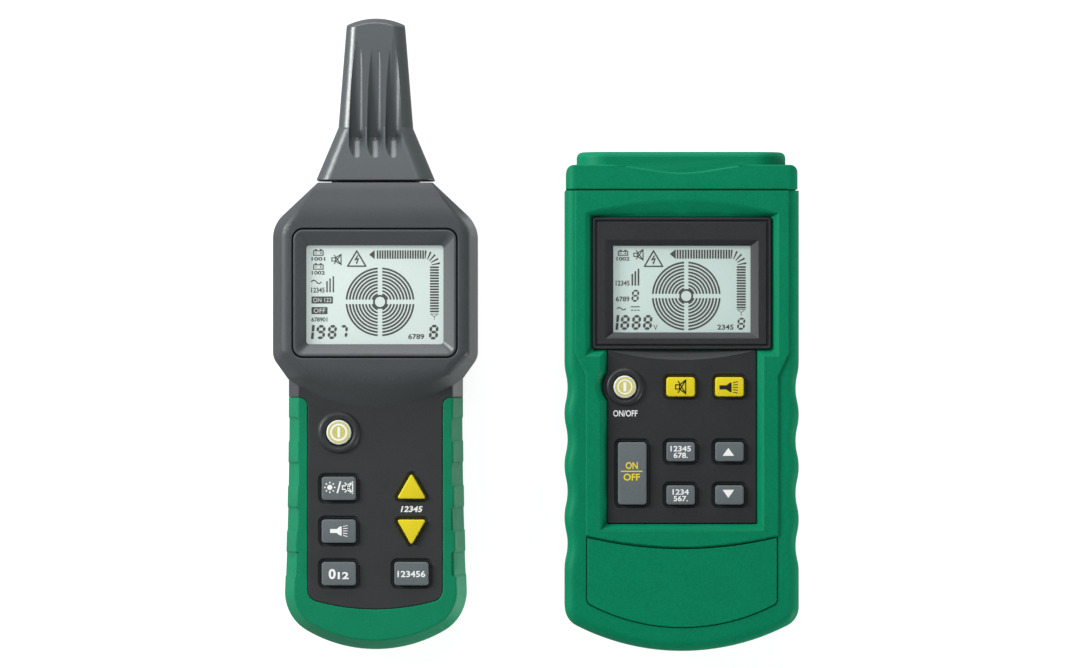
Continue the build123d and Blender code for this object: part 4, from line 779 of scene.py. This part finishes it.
lcd_target("receiver_display_target", rx_glass_z, 1.89, 132.83, inner=3.0, step=1.219, half_gap=0.87)
lcd_bars("receiver_display_top_bars", rx_glass_z, 19, (0.97, 150.85), (0.963, 0), (0.62, 3.21))
lcd_bars("receiver_display_side_bars", rx_glass_z, 17, (22.63, 146.0), (0, -1.05), (3.36, 0.66))
rx_signs = Print("receiver_display_signs", rx_glass_z)
battery_sign(rx_signs, -23.6, 150.4, -19.6, 152.45)
battery_sign(rx_signs, -23.6, 145.1, -19.6, 147.1)
rx_signs.text("1001", -21.6, 149.2, 1.4, 5.2)
rx_signs.text("1002", -21.6, 143.9, 1.4, 5.0)
speaker_sign(rx_signs, -16.6, 146.95, -12.8, 151.0, 0.38)
bolt_sign(rx_signs, -6.97, 146.2, 7.7, 6.46)
rx_signs.patch([(-2.24, 150.82), (-0.15, 149.1), (-0.15, 152.55)])
bar_fan(rx_signs, 18.8, 146.4, 2.8, 6.0)
aerial_sign(rx_signs, 22.6, 126.05, 128.2, 1.35)
for bar_x, bar_top in ((-18.3, 140.7), (-17.13, 141.75), (-15.88, 142.6)):
    rx_signs.bar(bar_x - 0.27, 136.45, bar_x + 0.27, bar_top)
wave_sign(rx_signs, -24.3, -20.4, 140.45, 0.62, 0.42)
rx_signs.text("12345", -21.75, 137.3, 1.95, 5.1)
rx_signs.text("678901", -21.2, 126.1, 1.7, 6.1)
rx_signs.text("6789", 15.7, 119.6, 2.0, 6.1)
rx_digits = ((1, -24.75, -22.95), (9, -22.6, -18.75), (8, -18.2, -14.4), (7, -13.9, -10.2))
for number, digit_low, digit_high in rx_digits:
    rx_signs.digit(number, digit_low, 118.66, digit_high, 124.0)
rx_signs.digit(8, 20.4, 118.5, 24.3, 124.1)
pills = (("ON 123", -20.12, 133.53, 8.15, 6.9), ("OFF", -21.15, 129.49, 6.1, 4.4))
pill_words = Print("receiver_display_words", rx_glass_z + ink_height)
for words, pill_x, pill_y, pill_w, words_w in pills:
    rx_signs.patch(rounded(oblong(pill_x, pill_y, pill_w, 2.7), 0.3))
    pill_words.text(words, pill_x, pill_y, 1.6, words_w, weight=0)
rx_signs.done(display_ink, "display_glass")
pill_words.done(rx_lcd_painted_glow, "display_glass")

# Receiver insides: a green circuit board with the light guide of the display, the buzzer and the
# silicone mat under the keys, held on posts of the case.
board_green = moulded("board_green", colour(28, 84, 52), 0.4, grain=1.4, speckle=0.7)
light_guide = moulded("light_guide", colour(232, 236, 234), 0.3, grain=0.6, speckle=0.06)
mat_black = moulded("mat_black", colour(30, 31, 32), 0.75, grain=0.4)
buzzer_black = moulded("buzzer_black", colour(24, 24, 25), 0.4, speckle=0.3)
finish_nodes(receiver_circuit_board=board_green, receiver_backlight=light_guide)
finish_nodes(receiver_keypad_mat=mat_black, receiver_buzzer=buzzer_black)

# Receiver keys: seven moulded caps with eased edges on the silicone mat, held under the panel by a lip.
# Each moves on its own, and all but the two arrows have a sign printed on their tops.
key_grey = moulded("key_grey", colour(101, 109, 112), 0.5, speckle=0.3, specular=0.2)
key_yellow = moulded("key_yellow", colour(226, 208, 38), 0.5, 0.6, 0.12, specular=0.15)
key_pale = moulded("key_pale", colour(226, 234, 228), 0.4, speckle=0.08)
white_print = moulded("white_print", colour(246, 248, 247), 0.5, 0.3, 0.08, 0.004)
black_print = moulded("black_print", colour(20, 21, 20), 0.5, 0.3, 0.2, 0.004)
yellow_print = moulded("yellow_print", colour(238, 216, 48), 0.5, 0.3, 0.1, 0.004)
yellow_field = moulded("yellow_field", colour(205, 200, 118), 0.5, 0.35, 0.8, 0.004)
key_corner = 1.1
arrow_corner = 0.6
print_height = 0.04


def key_cap(node, outline, lip_z, material, slot):
    """A key with its retaining lip and its rounded top edge, on its own body."""
    lip_grow, lip_t, edge = 0.8, 0.8, 0.45
    low, high = local_box(node)
    lip_top = lip_z + lip_t
    loops = []
    if low.z < lip_z - 0.1:
        loops += stepped(outline, (0, low.z), (0, lip_z))
    loops += stepped(outline, (lip_grow, lip_z), (lip_grow, lip_top), (0, lip_top))
    loops += rolled(outline, high.z, edge)
    show_form(node, "_cap", loops, material, slot, crease=30, body=node)


def torch_sign(ink, x_low, y_low, x_high, y_high, line):
    """A torch with its rays."""
    wide, tall = x_high - x_low, y_high - y_low
    shape = [(0, 0.32), (0.38, 0.32), (0.56, 0.1), (0.66, 0.08)]
    shape += [(across, 1 - up) for across, up in reversed(shape)]
    ink.patch([(x_low + across * wide, y_low + up * tall) for across, up in shape])
    for start, end in ((0.1, 0.0), (0.3, 0.25), (0.5, 0.5), (0.7, 0.75), (0.9, 1.0)):
        ink.line([(x_low + 0.74 * wide, y_low + start * tall), (x_high, y_low + end * tall)], line)


def power_key(node, x, y, across, lip_z, field_r, ring_r, ring_w, bar_w, bar_h):
    """A round power key with its ring and bar on a yellow field."""
    field_height, bar_corner = 0.03, 0.2
    key_cap(node, (oblong(x, y, across, across), across / 2), lip_z, key_pale, "key_power")
    top = local_box(node)[1].z
    field = Print(node + "_field", top, field_height, node)
    field.disc(x, y, field_r)
    field.done(yellow_field, "key_power")
    sign = Print(node + "_sign", top + field_height, field_height, node)
    sign.ring(x, y, ring_r, ring_w)
    sign.patch(rounded(oblong(x, y, bar_w, bar_h), bar_corner))
    sign.done(white_print, "key_power")


def key_print(node):
    """An empty print on the top of a key, which it rides on."""
    return Print(node + "_sign", local_box(node)[1].z, print_height, node)


def key_words(node, *rows):
    """White words on a grey key, each row with its place, height, width and weight."""
    sign = key_print(node)
    for words, x, y, height, width, weight in rows:
        sign.text(words, x, y, height, width, weight=weight)
    sign.done(white_print, "key_grey")


rx_lip_z = 27.2
rx_left, rx_right = -13.85, 13.85
rx_key_w, rx_key_h = 13.0, 8.9
rx_keys = {"light": (rx_left, 61.7), "torch": (rx_left, 45.4)}
rx_keys |= {"voltage": (rx_left, 29.2), "mode": (rx_right, 29.2)}
for key, (key_x, key_y) in rx_keys.items():
    key_plan = (oblong(key_x, key_y, rx_key_w, rx_key_h), key_corner)
    key_cap(f"receiver_{key}_key", key_plan, rx_lip_z, key_grey, "key_grey")
arrow_w, arrow_h = 11.1, 9.75
for key, key_y, way in (("up", 62.65, 1), ("down", 44.9, -1)):
    arrow_plan = [(-arrow_w / 2, -arrow_h / 2), (arrow_w / 2, -arrow_h / 2), (0, arrow_h / 2)]
    arrow_plan = [(rx_right + way * x, key_y + way * y) for x, y in arrow_plan]
    key_cap(f"receiver_{key}_key", (arrow_plan, arrow_corner), rx_lip_z, key_yellow, "key_yellow")
rx_power = {"field_r": 4.15, "ring_r": 2.95, "ring_w": 0.72, "bar_w": 1.0, "bar_h": 4.0}
power_key("receiver_power_key", rx_left, 83.1, 9.4, rx_lip_z, **rx_power)

light_sign = key_print("receiver_light_key")
sun = Vector((-17.25, 62.1))
light_sign.disc(*sun, 0.98)
for ray in range(8):
    ray_out = Vector((cos(ray * pi / 4), sin(ray * pi / 4)))
    light_sign.line([sun + ray_out * 1.55, sun + ray_out * 2.15], 0.5)
light_sign.line([(-14.4, 59.9), (-13.2, 64.4)], 0.6)
speaker_sign(light_sign, -12.6, 59.8, -8.4, 64.3, 0.42)
light_sign.done(white_print, "key_grey")
torch_print = key_print("receiver_torch_key")
torch_sign(torch_print, -17.15, 43.4, -10.5, 47.6, 0.26)
torch_print.done(white_print, "key_grey")
voltage_rows = (("0", rx_left - 2.5, 29.1, 3.9, 2.7, 0.03), ("12", rx_left + 1.7, 28.5, 2.7, 4.2, 0.03))
key_words("receiver_voltage_key", *voltage_rows)
key_words("receiver_mode_key", ("123456", rx_right, 29.1, 2.4, 10.6, 0.02))
level_print = Print("receiver_panel_print", rx_panel_z, print_height)
level_print.text("12345", 13.9, 53.8, 2.3, 8.4, lean=0.2, weight=0.03)
level_print.done(white_print, "grey_case")


# Receiver torch lens: a clear turned lens with a domed front, pushed into the right shoulder of the head.
# It is seated against the step of its hole.
def turned(name, profile, start, axis, steps=40, crease=30):
    """A closed lathe shape: radius and run along an axis, in millimetres, for each point of its profile."""
    skin = bmesh.new()
    side = axis.orthogonal().normalized()
    up = axis.cross(side)
    angles = [2 * pi * step / steps for step in range(steps)]
    rows = []
    for radius, run in profile:
        middle = start + axis * run * mm
        if radius == 0:
            rows.append([skin.verts.new(middle)])
        else:
            around = [side * cos(angle) + up * sin(angle) for angle in angles]
            rows.append([skin.verts.new(middle + out * radius * mm) for out in around])
    for before, after in zip(rows, rows[1:]):
        for step in range(steps):
            following = (step + 1) % steps
            if len(before) == 1:
                skin.faces.new((before[0], after[step], after[following]))
            elif len(after) == 1:
                skin.faces.new((before[step], before[following], after[0]))
            else:
                skin.faces.new((before[step], before[following], after[following], after[step]))
    return closed_mesh(name, skin, crease)


clear_lens = moulded("clear_lens", colour(232, 238, 240), 0.06, 1.5, 0.03, 0.001, specular=0.6, alpha=0.45)
lamp_r, lamp_len, dome_rise, dome_steps = 3.2, 7.0, 0.9, 8
lens_profile = [(0, 0), (lamp_r, 0), (lamp_r, lamp_len - dome_rise)]
for dome_step in range(1, dome_steps):
    dome_angle = pi / 2 * dome_step / dome_steps
    lens_profile.append((lamp_r * cos(dome_angle), lamp_len - dome_rise * (1 - sin(dome_angle))))
lens_profile.append((0, lamp_len))


def torch_lens(node, foot, axis):
    """A torch lens from its foot along an axis."""
    lens = turned(node + "_dome", lens_profile, foot, axis)
    show(node + "_dome", lens, clear_lens, "lens_clear", node)


shoulder_out = Vector((16.0, 17.0, 0)).normalized()
shoulder_middle = receiver + Vector((30.5, 170.3, 9.5)) * mm
torch_lens("receiver_torch_lens", shoulder_middle - shoulder_out * lamp_len * mm, shoulder_out)

# Receiver power: six slim cells side by side with sprung steel contact strips at their ends.
# They lie in the bay of the grip behind a flat grey door.
cell_jacket = moulded("cell_jacket", colour(52, 88, 60), 0.32, grain=3, speckle=0.3)
spring_steel = moulded("spring_steel", colour(170, 172, 172), 0.28, grain=0.3, speckle=0.2, metal=1.0)
finish_nodes(receiver_cells=cell_jacket, receiver_cell_contacts=spring_steel)
moulding("receiver_battery_door", grey_case, "grey_case")


# Receiver screws: four steel screws from the back hold the halves of the case together.
# A countersunk one holds the battery door, and all have cross recesses.
shank_start = 0.2


def make_cross_screws():
    """A cross-recessed screw, its head first along z, at each vertex of the bed."""
    sizes = ("Head Radius", "Neck Radius", "Head Height", "Shank Radius", "Shank Length")
    sizes += ("Recess Width", "Recess Span", "Recess Depth")
    tree, given = geometry_tree("cross_screws", {size: "Float" for size in sizes})
    radii = {"Radius_Bottom": given["Head Radius"], "Radius_Top": given["Neck Radius"]}
    head = grown(tree, "MeshCone", Vertices=40, Depth=given["Head Height"], **radii)
    length = given["Shank Length"]
    shank = grown(tree, "MeshCylinder", Vertices=24, Radius=given["Shank Radius"], Depth=length)
    shank_z = reckon(tree, "ADD", reckon(tree, "MULTIPLY", length, 0.5), shank_start)
    spot = put(tree, "ShaderNodeCombineXYZ", Z=shank_z).outputs[0]
    moved = grown(tree, "Transform", Geometry=shank, Translation=spot)
    whole, cross = put(tree, "GeometryNodeMeshBoolean"), put(tree, "GeometryNodeMeshBoolean")
    for node, operation in ((whole, "UNION"), (cross, "DIFFERENCE")):
        node.operation = operation
        node.solver = "EXACT"
    arms = []
    for first, second in (("Recess Span", "Recess Width"), ("Recess Width", "Recess Span")):
        size = put(tree, "ShaderNodeCombineXYZ", X=given[first], Y=given[second], Z=given["Recess Depth"])
        arms.append(grown(tree, "MeshCube", Size=size.outputs[0]))
    feed(tree, whole, Mesh_2=[head, moved])
    feed(tree, cross, Mesh_1=whole.outputs[0], Mesh_2=arms, Self_Intersection=True)
    screws = grown(tree, "InstanceOnPoints", Points=given["Geometry"], Instance=cross.outputs[0])
    return end_tree(tree, screws, given)


cross_screws = make_cross_screws()
screw_steel = moulded("screw_steel", colour(148, 150, 150), 0.3, grain=0.2, speckle=0.35, metal=1.0)


def drive_screws(node, spots, head_r, neck_r, head_h):
    """Sets screws with their heads to the back, at spots of a unit, into the box of the CAD ones."""
    low, high = local_box(node)
    bed = bpy.data.meshes.new(node)
    bed.from_pydata([(x, y, 0) for x, y in spots], [], [])
    settings = {"Head Radius": head_r, "Neck Radius": neck_r, "Head Height": head_h}
    settings |= {"Shank Radius": 1.25, "Shank Length": high.z - low.z - shank_start}
    settings |= {"Recess Width": 0.7, "Recess Span": 2.5, "Recess Depth": 2.0}
    back = (0, 0, low.z)
    show_grown(node + "_crossed", cross_screws, settings, back, screw_steel, "screw_steel", node, bed=bed)


def unit_screws(unit):
    """The four case screws of a unit and the one in its battery door."""
    head_r, door_head_r = 2.4, 2.25
    low, high = local_box(unit + "_case_screws")
    columns, rows = (low.x + head_r, high.x - head_r), (low.y + head_r, high.y - head_r)
    drive_screws(unit + "_case_screws", [(x, y) for x in columns for y in rows], head_r, head_r, 1.8)
    low, high = local_box(unit + "_battery_door_screw")
    door_spot = ((low.x + high.x) / 2, (low.y + high.y) / 2)
    drive_screws(unit + "_battery_door_screw", [door_spot], door_head_r, 1.25, 1.0)


unit_screws("receiver")

# Transmitter case: two halves moulded in green ABS with a fine sparked texture and waved grip sides.
# The front half has a raised plate with a bevelled recess for the display and the keys.
green_case = moulded("green_case", colour(3, 126, 88), 0.45, 0.45, 0.6, specular=0.1, edge=0.35)
moulding("transmitter_front_shell", green_case, "green_case")
moulding("transmitter_rear_shell", green_case, "green_case")


# Transmitter top cap: a green moulding plugged into the end of the case.
# Its collar holds the two test sockets and the torch, and its front dips down to it in a curve.
def ease_dip(mesh):
    """Rounds the edge of the dip in the front of the cap."""
    skin = bmesh.new()
    skin.from_mesh(mesh)
    cap_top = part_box("transmitter_top_cap")[1].z
    dip_low, dip_high, dip_half = 181.0, 184.85, 26.9
    round_over, steps = 0.7 * mm, 4
    rim = []
    for edge in skin.edges:
        spots = [(vertex.co - transmitter) / mm for vertex in edge.verts]
        level = all(abs(vertex.co.z - cap_top) < 0.01 * mm for vertex in edge.verts)
        on_dip = all(dip_low < spot.y < dip_high and abs(spot.x) < dip_half for spot in spots)
        if level and on_dip and edge.calc_face_angle(0) > 1:
            rim.append(edge)
    bmesh.ops.bevel(skin, geom=rim, offset=round_over, segments=steps, profile=0.5, affect="EDGES")
    skin.to_mesh(mesh)
    skin.free()
    return mesh


moulding("transmitter_top_cap", green_case, "green_case", shape=ease_dip)

# Test sockets: sleeves moulded in black and red plastic with a turned brass contact tube in each.
# They are pressed into the collar.
socket_black = moulded("socket_black", colour(26, 27, 28), 0.35, grain=0.6, speckle=0.2)
socket_red = moulded("socket_red", colour(178, 26, 24), 0.35, grain=0.6, speckle=0.2)
socket_brass = moulded("socket_brass", colour(196, 158, 84), 0.25, grain=0.3, speckle=0.15, metal=1.0)
moulding("transmitter_socket_sleeve_left", socket_black, "socket_black")
moulding("transmitter_socket_sleeve_right", socket_red, "socket_red")
moulding("transmitter_socket_contacts", socket_brass, "socket_brass")

# Transmitter torch lens: a clear turned lens with a domed front beside the sockets.
# It is pushed into the collar.
lens_low, lens_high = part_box("transmitter_torch_lens")
lens_middle = (lens_low + lens_high) / 2
torch_lens("transmitter_torch_lens", Vector((lens_middle.x, lens_low.y, lens_middle.z)), Vector((0, 1, 0)))

# Transmitter bezel: a black sparked frame with a groove inside its rim.
# Its faces slope down to the window, and it lies in the recess of the case.
black_panel = moulded("black_panel", colour(44, 46, 48), 0.4, speckle=0.6, specular=0.35, edge=0.25)
frame_low, frame_high = local_box("transmitter_bezel")
tx_window_low, tx_window_high = local_box("transmitter_window")
tx_display_y = (tx_window_low.y + tx_window_high.y) / 2
tx_display_h = tx_window_high.y - tx_window_low.y - 2 * window_lap
frame_outer = (box_plan(frame_low, frame_high), 1.0)
rim_w, groove_w, groove_d = 0.9, 0.9, 1.0
slope_w, slope_h = 2.9, 2.2
tx_opening = (oblong(0, tx_display_y, display_w, tx_display_h), 0.15)
slope_top = (oblong(0, tx_display_y, display_w + 2 * slope_w, tx_display_h + 2 * slope_h), 0.3)
frame_z, tx_rebate_z = frame_high.z, tx_window_high.z + sheet_gap
groove_end = -rim_w - groove_w
frame_loops = stepped(frame_outer, (0, frame_low.z)) + rolled(frame_outer, frame_z, 0.35)
frame_loops += stepped(frame_outer, (0.12 - rim_w, frame_z), (-rim_w, frame_z - 0.12))
frame_loops += stepped(frame_outer, (-rim_w, frame_z - groove_d), (groove_end, frame_z - groove_d))
frame_loops += stepped(frame_outer, (groove_end, frame_z - 0.15), (groove_end - 0.15, frame_z))
frame_loops += stepped(slope_top, (0.15, frame_z), (-0.1, frame_z - 0.12))
frame_loops += stepped(tx_opening, (0, tx_window_high.z + foot_rise), (0, tx_rebate_z))
frame_loops += stepped(tx_opening, (rebate_grow, tx_rebate_z), (rebate_grow, frame_low.z))
show_form("transmitter_bezel", "_frame", frame_loops, black_panel, "black_panel", crease=20, ring=True)

# Transmitter window and display: a clear acrylic sheet over a liquid crystal glass, as on the receiver.
# The glass is a little greener, and its signs differ.
tx_glass_z = local_box("transmitter_display")[1].z
# The glass glows in its own tone like the receiver's: painted light that lifts the shade of the bezel.
tx_lcd_painted_glow = moulded("tx_lcd_painted_glow", colour(164, 181, 176), 0.4, 0.35, 0.03, 0.0005, specular=0.2, glow=0.6)
show_slab("transmitter_window", "_sheet", sheet_corner, sheet_edge, clear_acrylic, "clear_window")
show_slab("transmitter_display", "_glass", glass_corner, glass_edge, tx_lcd_painted_glow, "display_glass")
lcd_target("transmitter_display_target", tx_glass_z, 1.70, 135.05, inner=2.89, step=1.23, half_gap=0.82)
lcd_bars("transmitter_display_top_bars", tx_glass_z, 20, (-1.6, 150.95), (1.034, 0), (0.66, 3.4))
lcd_bars("transmitter_display_side_bars", tx_glass_z, 16, (22.62, 146.05), (0, -1.026), (3.43, 0.66))
tx_signs = Print("transmitter_display_signs", tx_glass_z)
battery_sign(tx_signs, -24.3, 150.35, -20.4, 152.2)
tx_signs.text("1002", -22.35, 149.2, 1.45, 5.0)
speaker_sign(tx_signs, -18.4, 148.65, -14.6, 152.8, 0.38)
bolt_sign(tx_signs, -10.75, 146.1, 7.7, 6.54)
tx_signs.patch([(-4.6, 151.04), (-2.3, 149.1), (-2.3, 152.8)])
bar_fan(tx_signs, 18.5, 146.4, 2.9, 6.2)
aerial_sign(tx_signs, 22.6, 127.6, 129.9, 1.4)
for bar_x, bar_top in ((-18.82, 143.4), (-17.68, 144.45), (-16.48, 145.45)):
    tx_signs.bar(bar_x - 0.32, 139.0, bar_x + 0.32, bar_top)
tx_signs.text("12345", -22.5, 139.95, 1.95, 5.3)
tx_signs.text("6789", -22.5, 133.9, 1.95, 5.2)
tx_signs.digit(8, -19.25, 132.85, -16.1, 137.4, thick=0.72)
wave_sign(tx_signs, -24.7, -21.3, 130.2, 0.42, 0.4)
tx_signs.bar(-19.4, 130.74, -16.0, 131.12)
for dash_x in (-18.9, -17.7, -16.5):
    tx_signs.bar(dash_x - 0.42, 129.46, dash_x + 0.42, 129.84)
tx_signs.digit(1, -25.6, 122.16, -23.75, 127.8)
for digit_x in (-23.5, -19.2, -14.9):
    tx_signs.digit(8, digit_x, 122.16, digit_x + 3.85, 127.8)
tx_signs.text("V", -10.0, 123.15, 1.9, weight=0)
tx_signs.text("2345", 16.6, 123.2, 1.95, 6.2)
tx_signs.digit(8, 20.95, 122.2, 24.25, 126.75, thick=0.72)
tx_signs.done(display_ink, "display_glass")

# Transmitter panels: a black sparked key panel with a rounded ring round the power key and a shallow
# scoop along its top edge. A green lower panel closes the recess below the seam.
tx_panel_z = 39.6


def scoop_edge(mesh):
    """Takes a shallow scoop with an arched lower line out of the panel's top edge."""
    panel_high = local_box("transmitter_key_panel")[1]
    half, reach, fall, lead, columns = panel_high.x, 3.7, 0.4, 0.5, 40
    far, clear = panel_high.y + 1, 2.0
    cutter = bmesh.new()
    rows = []
    for column in range(columns + 1):
        x = half * (2 * column / columns - 1)
        line_y = panel_high.y - reach * (1 - (x / half) ** 2)
        near = line_y - lead
        spots = [(near, fall * lead), (far, -fall * (far - line_y)), (far, clear), (near, clear)]
        rows.append([cutter.verts.new(transmitter + Vector((x, y, tx_panel_z + z)) * mm) for y, z in spots])
    for before, after in zip(rows, rows[1:]):
        for index in range(4):
            following = (index + 1) % 4
            cutter.faces.new((before[index], before[following], after[following], after[index]))
    cutter.faces.new(rows[0])
    cutter.faces.new(rows[-1])
    tool = bpy.data.objects.new("scoop", closed_mesh("scoop", cutter))
    scene.collection.objects.link(tool)
    blank = bpy.data.objects.new("blank", mesh)
    cut = blank.modifiers.new("cut", "BOOLEAN")
    cut.object = tool
    cut.solver = "EXACT"
    scooped = settled(blank)
    bpy.data.objects.remove(tool)
    return scooped


panel = moulding("transmitter_key_panel", black_panel, "black_panel", crease=16, shape=scoop_edge)
# Faces of the scoop that tilt up towards the top end get a lighter grey: painted light on the band,
# which also lifts the shade that the bezel's wall casts on it.
scoop_painted_light = moulded("scoop_painted_light", colour(62, 66, 68), 0.4, speckle=0.5, specular=0.35)
panel.data.materials.append(scoop_painted_light)
panel_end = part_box("transmitter_key_panel")[1].y
for face in panel.data.polygons:
    if face.center.y > panel_end - 5 * mm and 0.2 < face.normal.y < 0.6 and face.normal.z > 0.8:
        face.material_index = 1
moulding("transmitter_lower_panel", green_case, "green_case")

# Transmitter keys: eight moulded caps like the receiver's, with prints in white, black and yellow.
# The tall one switches the sender on and off.
tx_lip_z = 35.6
tx_mid, tx_right, tx_start_x = -0.5, 18.05, -18.9
tx_top_row, tx_up_row, tx_down_row = 100.5, 75.85, 59.4
start_low, start_high = local_box("transmitter_start_key")
tx_start_row = (start_low.y + start_high.y) / 2
tx_key_w, tx_key_h, tx_start_h = 10.8, 7.3, 23.7
tx_keys = {
    "mute": (tx_mid, tx_top_row, tx_key_h, key_yellow, "key_yellow"),
    "torch": (tx_right, tx_top_row, tx_key_h, key_yellow, "key_yellow"),
    "level": (tx_mid, tx_up_row, tx_key_h, key_grey, "key_grey"),
    "code": (tx_mid, tx_down_row, tx_key_h, key_grey, "key_grey"),
    "up": (tx_right, tx_up_row, tx_key_h, key_grey, "key_grey"),
    "down": (tx_right, tx_down_row, tx_key_h, key_grey, "key_grey"),
    "start": (tx_start_x, tx_start_row, tx_start_h, key_grey, "key_grey"),
}
for key, (key_x, key_y, key_h, key_material, key_slot) in tx_keys.items():
    key_plan = (oblong(key_x, key_y, tx_key_w, key_h), key_corner)
    key_cap(f"transmitter_{key}_key", key_plan, tx_lip_z, key_material, key_slot)
tx_power = {"field_r": 3.8, "ring_r": 2.6, "ring_w": 0.5, "bar_w": 1.07, "bar_h": 3.55}
power_key("transmitter_power_key", -21.7, tx_top_row, 8.55, tx_lip_z, **tx_power)

mute_sign = key_print("transmitter_mute_key")
speaker_sign(mute_sign, -2.6, 97.8, 1.55, 103.2, 0.42)
mute_sign.done(black_print, "key_yellow")
tx_torch_print = key_print("transmitter_torch_key")
torch_sign(tx_torch_print, 14.2, 98.1, 21.2, 102.5, 0.3)
tx_torch_print.done(black_print, "key_yellow")
start_words = key_print("transmitter_start_key")
start_words.text("ON", -19.1, 70.6, 2.66, 4.6, weight=0.02)
start_words.bar(-23.2, 68.2, -15.0, 68.6)
start_words.text("OFF", -19.1, 66.2, 2.66, 6.2, weight=0.02)
start_words.done(yellow_print, "key_grey")
two_row_keys = (("level", tx_up_row, "12345", "678."), ("code", tx_down_row, "1234", "567."))
for key, key_y, upper, lower in two_row_keys:
    upper_row = (upper, tx_mid, key_y + 1.15, 2.1, 1.55 * len(upper), 0.02)
    lower_row = (lower, tx_mid, key_y - 1.35, 2.1, 5.4, 0.02)
    key_words(f"transmitter_{key}_key", upper_row, lower_row)
for key, foot_y, tip_y in (("up", 74.3, 77.3), ("down", 61.4, 58.3)):
    way_sign = key_print(f"transmitter_{key}_key")
    way_sign.patch([(15.4, foot_y), (19.8, foot_y), (17.6, tip_y)])
    way_sign.done(white_print, "key_grey")
switch_print = Print("transmitter_panel_print", tx_panel_z, print_height)
switch_print.text("ON/OFF", -21.5, 90.4, 2.4, 9.2, weight=0.015)
switch_print.done(white_print, "black_panel")

# Transmitter insides: a circuit board with a light guide, a buzzer and a key mat as in the receiver.
# A block battery with its snap lies across the case behind a green door.
finish_nodes(transmitter_circuit_board=board_green, transmitter_backlight=light_guide)
finish_nodes(transmitter_keypad_mat=mat_black, transmitter_buzzer=buzzer_black)
finish_nodes(transmitter_battery=cell_jacket, transmitter_battery_snap=mat_black)
moulding("transmitter_battery_door", green_case, "green_case")

# Transmitter screws: like the receiver's, four through the case and one in the battery door.
# They are driven in from the back.
unit_screws("transmitter")
